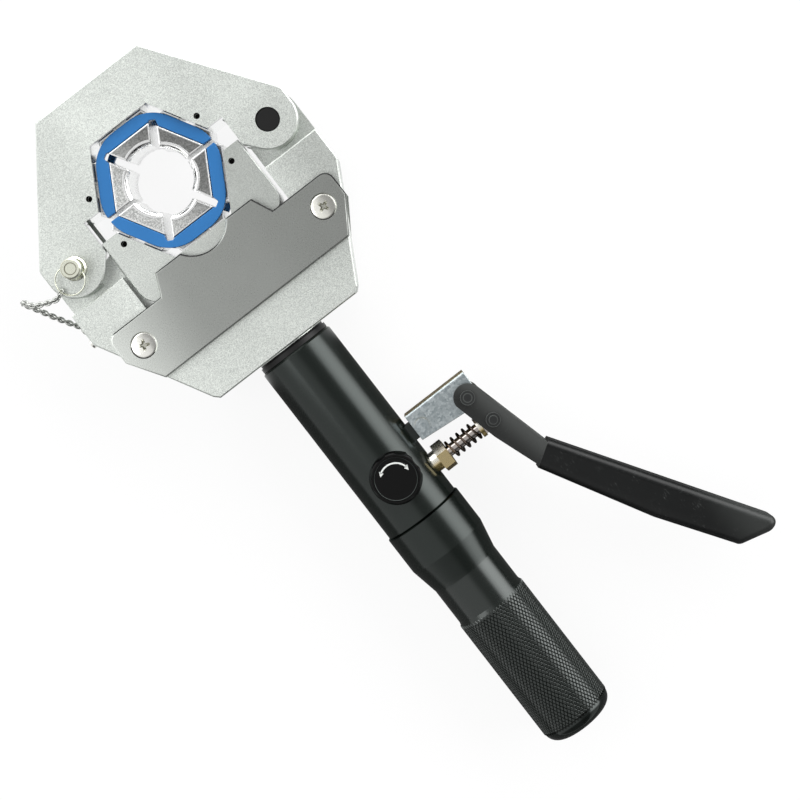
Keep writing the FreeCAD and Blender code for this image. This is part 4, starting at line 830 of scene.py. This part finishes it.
# %% [markdown]
# ## Soft edges
#
# No machined edge is a perfect corner. The plates and dies that the light catches get a
# copy with broken edges, which draws the thin bright and dark lines of the photograph. On
# the dies, the sunk patch of each face is pressed in as well.

# %% Break the edges
PATCH_MARGIN, PATCH_WALL, PATCH_DEPTH = 0.9, 0.15, 0.25
SMALLEST_PATCH_MM2 = 20


def rounded(node, body, width_mm, slot, *finishes):
    """Stand for a CAD node with a copy whose edges are rounded."""
    materials = [finish.material for finish in finishes]
    thing = soften(keep_mesh(plain_copy(node), node + "_soft", *materials), width_mm)
    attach(thing, body)
    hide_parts(node)
    print("%s: edges of %.2f mm" % (node, width_mm))
    return thing


def press_patches(thing):
    """Sink a patch into each large flat face along Z and give it the second material."""
    form = bmesh.new()
    form.from_mesh(thing.data)
    wide = [f for f in form.faces
            if abs(f.normal.z) > 0.999 and f.calc_area() > SMALLEST_PATCH_MM2 * MM * MM]
    bmesh.ops.inset_individual(form, faces=wide, thickness=PATCH_MARGIN * MM)
    bmesh.ops.inset_individual(form, faces=wide, thickness=PATCH_WALL * MM,
                               depth=-PATCH_DEPTH * MM)
    for patch in wide:
        patch.material_index = 1
    form.to_mesh(thing.data)
    form.free()
    flatten(thing.data)


rounded("front_cover", "frame", 0.6, "cover_steel", cover_steel)
rounded("rear_cover", "frame", 0.6, "cover_steel", cover_steel)
rounded("pump_lever", "pump_lever", 0.8, "black_coat", lever_coat)
rounded("channel_link", "frame", 0.4, "zinc_plate", zinc_plate)
for half, carrier in HALVES:
    for word in ("middle", "left", "right"):
        node = "%s_%s_die" % (half, word)
        body = carrier if word == "middle" else node
        press_patches(rounded(node, body, 0.35, "die_steel", die_steel, die_face))

# %% [markdown]
# ## Growing what repeats
#
# Screws, chain links and knurling are one small shape many times. A Geometry Nodes tree
# holds the rule, with named inputs for its sizes. The helper runs the tree once and keeps
# the plain mesh, because a finished piece carries no live tree.

# %% Write the helpers for repeats
def rule(name, **sizes):
    """A new tree with a geometry input and one named input for each size."""
    tree = bpy.data.node_groups.new(name, "GeometryNodeTree")
    tree.is_modifier = True
    face = tree.interface
    face.new_socket("Geometry", in_out="OUTPUT", socket_type="NodeSocketGeometry")
    face.new_socket("Geometry", in_out="INPUT", socket_type="NodeSocketGeometry")
    for label, value in sizes.items():
        kind = "NodeSocketInt" if isinstance(value, int) else "NodeSocketFloat"
        face.new_socket(label, in_out="INPUT", socket_type=kind)
    inputs = tree.nodes.new("NodeGroupInput")
    signals = {label: Signal(tree, inputs.outputs[label]) for label in sizes}
    return tree, inputs.outputs[0], signals


def grow(tree, last, thing, material, sizes):
    """End the tree, run it on the object and keep the grown mesh."""
    real = put(tree, "GeometryNodeRealizeInstances", {0: last}).outputs[0]
    values = {"Geometry": real, "Material": material}
    dressed = put(tree, "GeometryNodeSetMaterial", values)
    put(tree, "NodeGroupOutput", {0: dressed.outputs[0]})
    modifier = thing.modifiers.new("grow", "NODES")
    modifier.node_group = tree
    for item in tree.interface.items_tree:
        if item.in_out == "INPUT" and item.name in sizes:
            modifier[item.identifier] = sizes[item.name]
    graph = bpy.context.evaluated_depsgraph_get()
    mesh = bpy.data.meshes.new_from_object(thing.evaluated_get(graph))
    thing.modifiers.remove(modifier)
    thing.data = mesh
    print(thing.name, len(mesh.polygons), "faces")


def counter(tree):
    """The number of each point, from 0."""
    return Signal(tree, put(tree, "GeometryNodeInputIndex").outputs[0])


def spot(tree, x, y, z):
    """A vector from three numbers or signals."""
    return put(tree, "ShaderNodeCombineXYZ", {0: x, 1: y, 2: z}).outputs[0]


def wire_loop(tree, points, radius):
    """A circle, as a path or as the outline of a wire."""
    values = {"Resolution": points, "Radius": radius}
    return put(tree, "GeometryNodeCurvePrimitiveCircle", values).outputs[0]


# %% [markdown]
# ## Cover screws
#
# Each cover is held by raised countersunk screws with a cross recess. One head is modelled
# with its recess as real depth: the flat crown is filled between the rim and the outline of
# the cross, and the cross is pushed down and drawn in. The tree sets one at each corner.

# %% Model the cover screws
SCREW_SIZES = {"Out": 56.5 * MM, "Drop": 60.5 * MM, "Height": 24.0 * MM,
               "Turn": math.radians(25)}
SCREW_PROFILE = ((6.55, -2.0), (6.62, -0.8), (6.3, -0.55), (5.2, -0.3), (4.0, -0.12))
SCREW_STEPS = 40
CROSS_ARM, CROSS_HALF, CROSS_DEPTH, CROSS_TAPER = 3.1, 0.62, 1.9, 0.45


def cross_outline():
    """The corners of the cross, anticlockwise."""
    arm, half = CROSS_ARM, CROSS_HALF
    outline = []
    for quarter in range(4):
        turn = Matrix.Rotation(quarter * math.pi / 2, 3, "Z")
        for x, y in ((arm, -half), (arm, half), (half * 1.5, half * 1.5)):
            outline.append(turn @ Vector((x, y, 0)))
    return outline


def screw_head():
    """One head with its crown at z = 0 and the cross sunk into it."""
    form = bmesh.new()
    turns = [2 * math.pi * i / SCREW_STEPS for i in range(SCREW_STEPS)]
    rings = []
    for radius, height in SCREW_PROFILE:
        rings.append([form.verts.new((radius * math.cos(a) * MM, radius * math.sin(a) * MM,
                                      height * MM)) for a in turns])
    skin(form, rings)
    outline = cross_outline()
    top = [form.verts.new((p.x * MM, p.y * MM, 0)) for p in outline]
    deep = [form.verts.new((p.x * CROSS_TAPER * MM, p.y * CROSS_TAPER * MM, -CROSS_DEPTH * MM))
            for p in outline]
    edges = [form.edges.new((a, b)) for a, b in zip(top, top[1:] + top[:1])]
    crown = [form.edges.get((a, b)) for a, b in zip(rings[-1], rings[-1][1:] + rings[-1][:1])]
    bmesh.ops.triangle_fill(form, edges=edges + crown, use_beauty=True)
    for i in range(len(top)):
        j = (i + 1) % len(top)
        form.faces.new((top[i], deep[i], deep[j], top[j]))
    form.faces.new(deep[::-1])
    bmesh.ops.recalc_face_normals(form, faces=form.faces)
    return form


tree, shape, size = rule("screws_at_corners", **SCREW_SIZES)
count = counter(tree)
side = count % 2.0 * 2 - 1
face = (count / 2).alone("FLOOR") * 2 - 1
place = spot(tree, side * size["Out"], size["Drop"] * -1, face * size["Height"])
corners = put(tree, "GeometryNodePoints", {"Count": 4, "Position": place}).outputs[0]
spin = spot(tree, 0.0, (1 - face) * (math.pi / 2), face * side * size["Turn"])
values = {"Points": corners, "Instance": shape, "Rotation": spin}
screws = put(tree, "GeometryNodeInstanceOnPoints", values).outputs[0]
cover_screw = keep_mesh(screw_head(), "cover_screw_heads", screw_steel.material)
grow(tree, screws, cover_screw, screw_steel.material, SCREW_SIZES)
cover_screw.data.set_sharp_from_angle(angle=math.radians(40))
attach(cover_screw, "frame")
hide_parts("cover_screws")

# %% [markdown]
# ## Safety chain
#
# A fine chain keeps the lock pin with the tool. It is laid in a loose loop from the anchor screw to
# the split ring. The path is a smooth curve through a few points, and the tree sets oval links on
# it, each turned a quarter from the one before.

# %% Lay the chain
CHAIN_PATH = [
    (-73.6, -14.4, 22.0), (-78.0, -15.6, 21.4), (-88.0, -11.4, 18.5), (-92.5, -6.6, 14.5),
    (-93.8, -6.4, 9.8), (-90.8, -12.4, 6.2), (-86.6, -20.4, 4.4), (-82.2, -28.2, 2.2),
    (-79.6, -32.8, 0.3), (-79.2, -37.4, 0.0)]
CHAIN_SIZES = {"Links": 30, "Half width": 1.15 * MM, "Half length": 1.9 * MM, "Wire": 0.52 * MM}
FIRST_ROLL = math.radians(20)

form = bmesh.new()
dots = [form.verts.new(Vector(p) * MM) for p in CHAIN_PATH]
for first, second in zip(dots, dots[1:]):
    form.edges.new((first, second))
chain = keep_mesh(form, "safety_chain", chain_steel.material)

tree, shape, size = rule("links_on_path", **CHAIN_SIZES)
path = put(tree, "GeometryNodeMeshToCurve", {0: shape}).outputs[0]
path = put(tree, "GeometryNodeCurveSplineType", {"Curve": path},
           spline_type="CATMULL_ROM").outputs[0]
path = put(tree, "GeometryNodeSetSplineResolution", {"Geometry": path, "Resolution": 24}).outputs[0]
stations = put(tree, "GeometryNodeCurveToPoints", {"Curve": path, "Count": size["Links"]})
roll = spot(tree, 0.0, 0.0, counter(tree) % 2.0 * (math.pi / 2) + FIRST_ROLL)
values = {"Rotation": stations.outputs["Rotation"], "Rotate By": roll}
turned = put(tree, "FunctionNodeRotateRotation", values, rotation_space="LOCAL").outputs[0]
values = {"Geometry": wire_loop(tree, 20, 1.0), "Rotation": (math.pi / 2, 0, 0)}
standing = put(tree, "GeometryNodeTransform", values).outputs[0]
values = {"Geometry": standing, "Scale": spot(tree, size["Half width"], 1.0, size["Half length"])}
oval = put(tree, "GeometryNodeTransform", values).outputs[0]
values = {"Curve": oval, "Profile Curve": wire_loop(tree, 8, size["Wire"])}
link = put(tree, "GeometryNodeCurveToMesh", values).outputs[0]
values = {"Points": stations.outputs["Points"], "Instance": link, "Rotation": turned}
links = put(tree, "GeometryNodeInstanceOnPoints", values).outputs[0]
grow(tree, links, chain, chain_steel.material, CHAIN_SIZES)
smooth(chain.data)
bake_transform(chain)
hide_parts("pin_chain")

# %% [markdown]
# ## Split ring
#
# The chain hangs on a split ring: two turns of thin wire, laid on each other, which pass
# through the head of the lock pin. A spiral curve gives the two turns.

# %% Wind the split ring
RING_CENTRE = Vector((-65.924, -12.511, 23.352))
RING_SIZES = {"Turns": 2.0, "Radius": 7.5 * MM, "Rise": 0.62 * MM, "Wire": 0.33 * MM}
RING_HEADING, RING_LEAN = math.radians(217), math.radians(6)

tree, shape, size = rule("split_ring", **RING_SIZES)
values = {"Resolution": 48, "Rotations": size["Turns"], "Height": size["Rise"],
          "Start Radius": size["Radius"], "End Radius": size["Radius"]}
spiral = put(tree, "GeometryNodeCurveSpiral", values).outputs[0]
values = {"Curve": spiral, "Profile Curve": wire_loop(tree, 10, size["Wire"]), "Fill Caps": True}
turns = put(tree, "GeometryNodeCurveToMesh", values).outputs[0]
away = Vector((math.cos(RING_HEADING), math.sin(RING_HEADING), 0))
across = Vector((-away.y, away.x, 0))
lie = Matrix.Rotation(RING_LEAN, 4, across)
low = RING_CENTRE * MM - lie @ Vector((0, 0, RING_SIZES["Rise"] / 2))
values = {"Geometry": turns, "Translation": low, "Rotation": lie.to_euler()}
laid = put(tree, "GeometryNodeTransform", values).outputs[0]
split_ring = keep_mesh(bmesh.new(), "split_ring", pin_nickel.material)
grow(tree, laid, split_ring, pin_nickel.material, RING_SIZES)
smooth(split_ring.data)
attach(split_ring, "lock_pin")
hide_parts("lock_pin_ring")

# %% [markdown]
# ## Knurling
#
# The handle's band is cut with crossed spiral grooves, which leave rows of small diamonds.
# One diamond has four flanks and a crowned top. The tree lays them in rows round the band,
# each row shifted by half a diamond, so that they close up like scales.

# %% Cut the knurl
KNURL_SIZES = {"Round": 63, "Rows": 41, "Radius": 19.36 * MM, "Start": 272.4 * MM,
               "Step": 1.68 * MM}
POINT_HALF_WIDE, POINT_HALF_LONG, POINT_TALL = 0.98, 1.70, 0.40
POINT_PROFILE = ((1.0, 0.0), (0.80, 0.82), (0.64, 1.0))


def knurl_point():
    """A diamond with straight flanks and a small crowned top."""
    form = bmesh.new()
    wide, long = POINT_HALF_WIDE, POINT_HALF_LONG
    rings = []
    for share, level in POINT_PROFILE:
        rings.append([form.verts.new((x * wide * share * MM, y * long * share * MM,
                                      level * POINT_TALL * MM))
                      for x, y in ((1, 0), (0, 1), (-1, 0), (0, -1))])
    skin(form, rings)
    form.faces.new(rings[-1])
    return form


tree, shape, size = rule("knurl_rows", **KNURL_SIZES)
count = counter(tree)
row = (count / size["Round"]).alone("FLOOR")
angle = (count % size["Round"] + row % 2.0 * 0.5) * (2 * math.pi) / size["Round"]
along = size["Start"] + (row + 0.5) * size["Step"]
place = spot(tree, angle.alone("SINE") * size["Radius"], along * -1,
             angle.alone("COSINE") * size["Radius"])
values = {"Count": size["Round"] * size["Rows"], "Position": place}
points = put(tree, "GeometryNodePoints", values).outputs[0]
values = {"Points": points, "Instance": shape, "Rotation": spot(tree, 0.0, angle, 0.0)}
diamonds = put(tree, "GeometryNodeInstanceOnPoints", values).outputs[0]
knurl = keep_mesh(knurl_point(), "knurl", black_coat.material)
grow(tree, diamonds, knurl, black_coat.material, KNURL_SIZES)
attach(knurl, "frame")

# %% [markdown]
# ## Marks on the knob
#
# The release knob has a thin bright ring round its face and a printed arc with an arrowhead
# at each end, which shows that it turns both ways. The ink stands off the face by a few
# hundredths of a millimetre.

# %% Print the knob
KNOB_MIDDLE = Vector((2, -190, 24.0))
PICTURE_UP = Vector((0, 0, 1)).cross(PICTURE_RIGHT)
INK_LIFT = 0.03
ARC_FROM, ARC_TO, ARC_RADIUS, ARC_HALF, ARC_STEPS = 50, 160, 8.0, 0.42, 28
ARROW_BACK, ARROW_LONG, ARROW_HALF, ARROW_INWARD = 3, 14, 1.25, 0.2
RING_PROFILE = ((11.1, 0.02), (11.0, 0.22), (10.8, 0.3), (10.6, 0.22), (10.5, 0.02))
RING_STEPS = 72


def on_knob(radius, degrees, lift=INK_LIFT):
    """A point on the knob's face; degrees run anticlockwise from the picture's right."""
    turn = math.radians(degrees)
    flat = PICTURE_RIGHT * math.cos(turn) + PICTURE_UP * math.sin(turn)
    return (KNOB_MIDDLE + flat * radius + Vector((0, 0, lift))) * MM


form = bmesh.new()
steps = [ARC_FROM + (ARC_TO - ARC_FROM) * i / ARC_STEPS for i in range(ARC_STEPS + 1)]
inner = [form.verts.new(on_knob(ARC_RADIUS - ARC_HALF, a)) for a in steps]
outer = [form.verts.new(on_knob(ARC_RADIUS + ARC_HALF, a)) for a in steps]
for i in range(ARC_STEPS):
    form.faces.new((outer[i], outer[i + 1], inner[i + 1], inner[i]))
for end, way in ((ARC_FROM, -1), (ARC_TO, 1)):
    root, tip = end - way * ARROW_BACK, end + way * ARROW_LONG
    corners = (on_knob(ARC_RADIUS - ARROW_HALF, root), on_knob(ARC_RADIUS + ARROW_HALF, root),
               on_knob(ARC_RADIUS - ARROW_INWARD, tip))
    form.faces.new([form.verts.new(c) for c in corners])
bmesh.ops.recalc_face_normals(form, faces=form.faces)
for patch in form.faces:
    if patch.normal.z < 0:
        patch.normal_flip()
arrow = keep_mesh(form, "knob_arrow", white_ink.material)
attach(arrow, "release_knob")

form = bmesh.new()
loops = [[form.verts.new(on_knob(radius, 360 * i / RING_STEPS, lift)) for i in range(RING_STEPS)]
         for radius, lift in RING_PROFILE]
skin(form, loops)
rim = keep_mesh(form, "knob_ring", gloss_black.material)
smooth(rim.data)
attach(rim, "release_knob")
print("knob: arrow and ring")
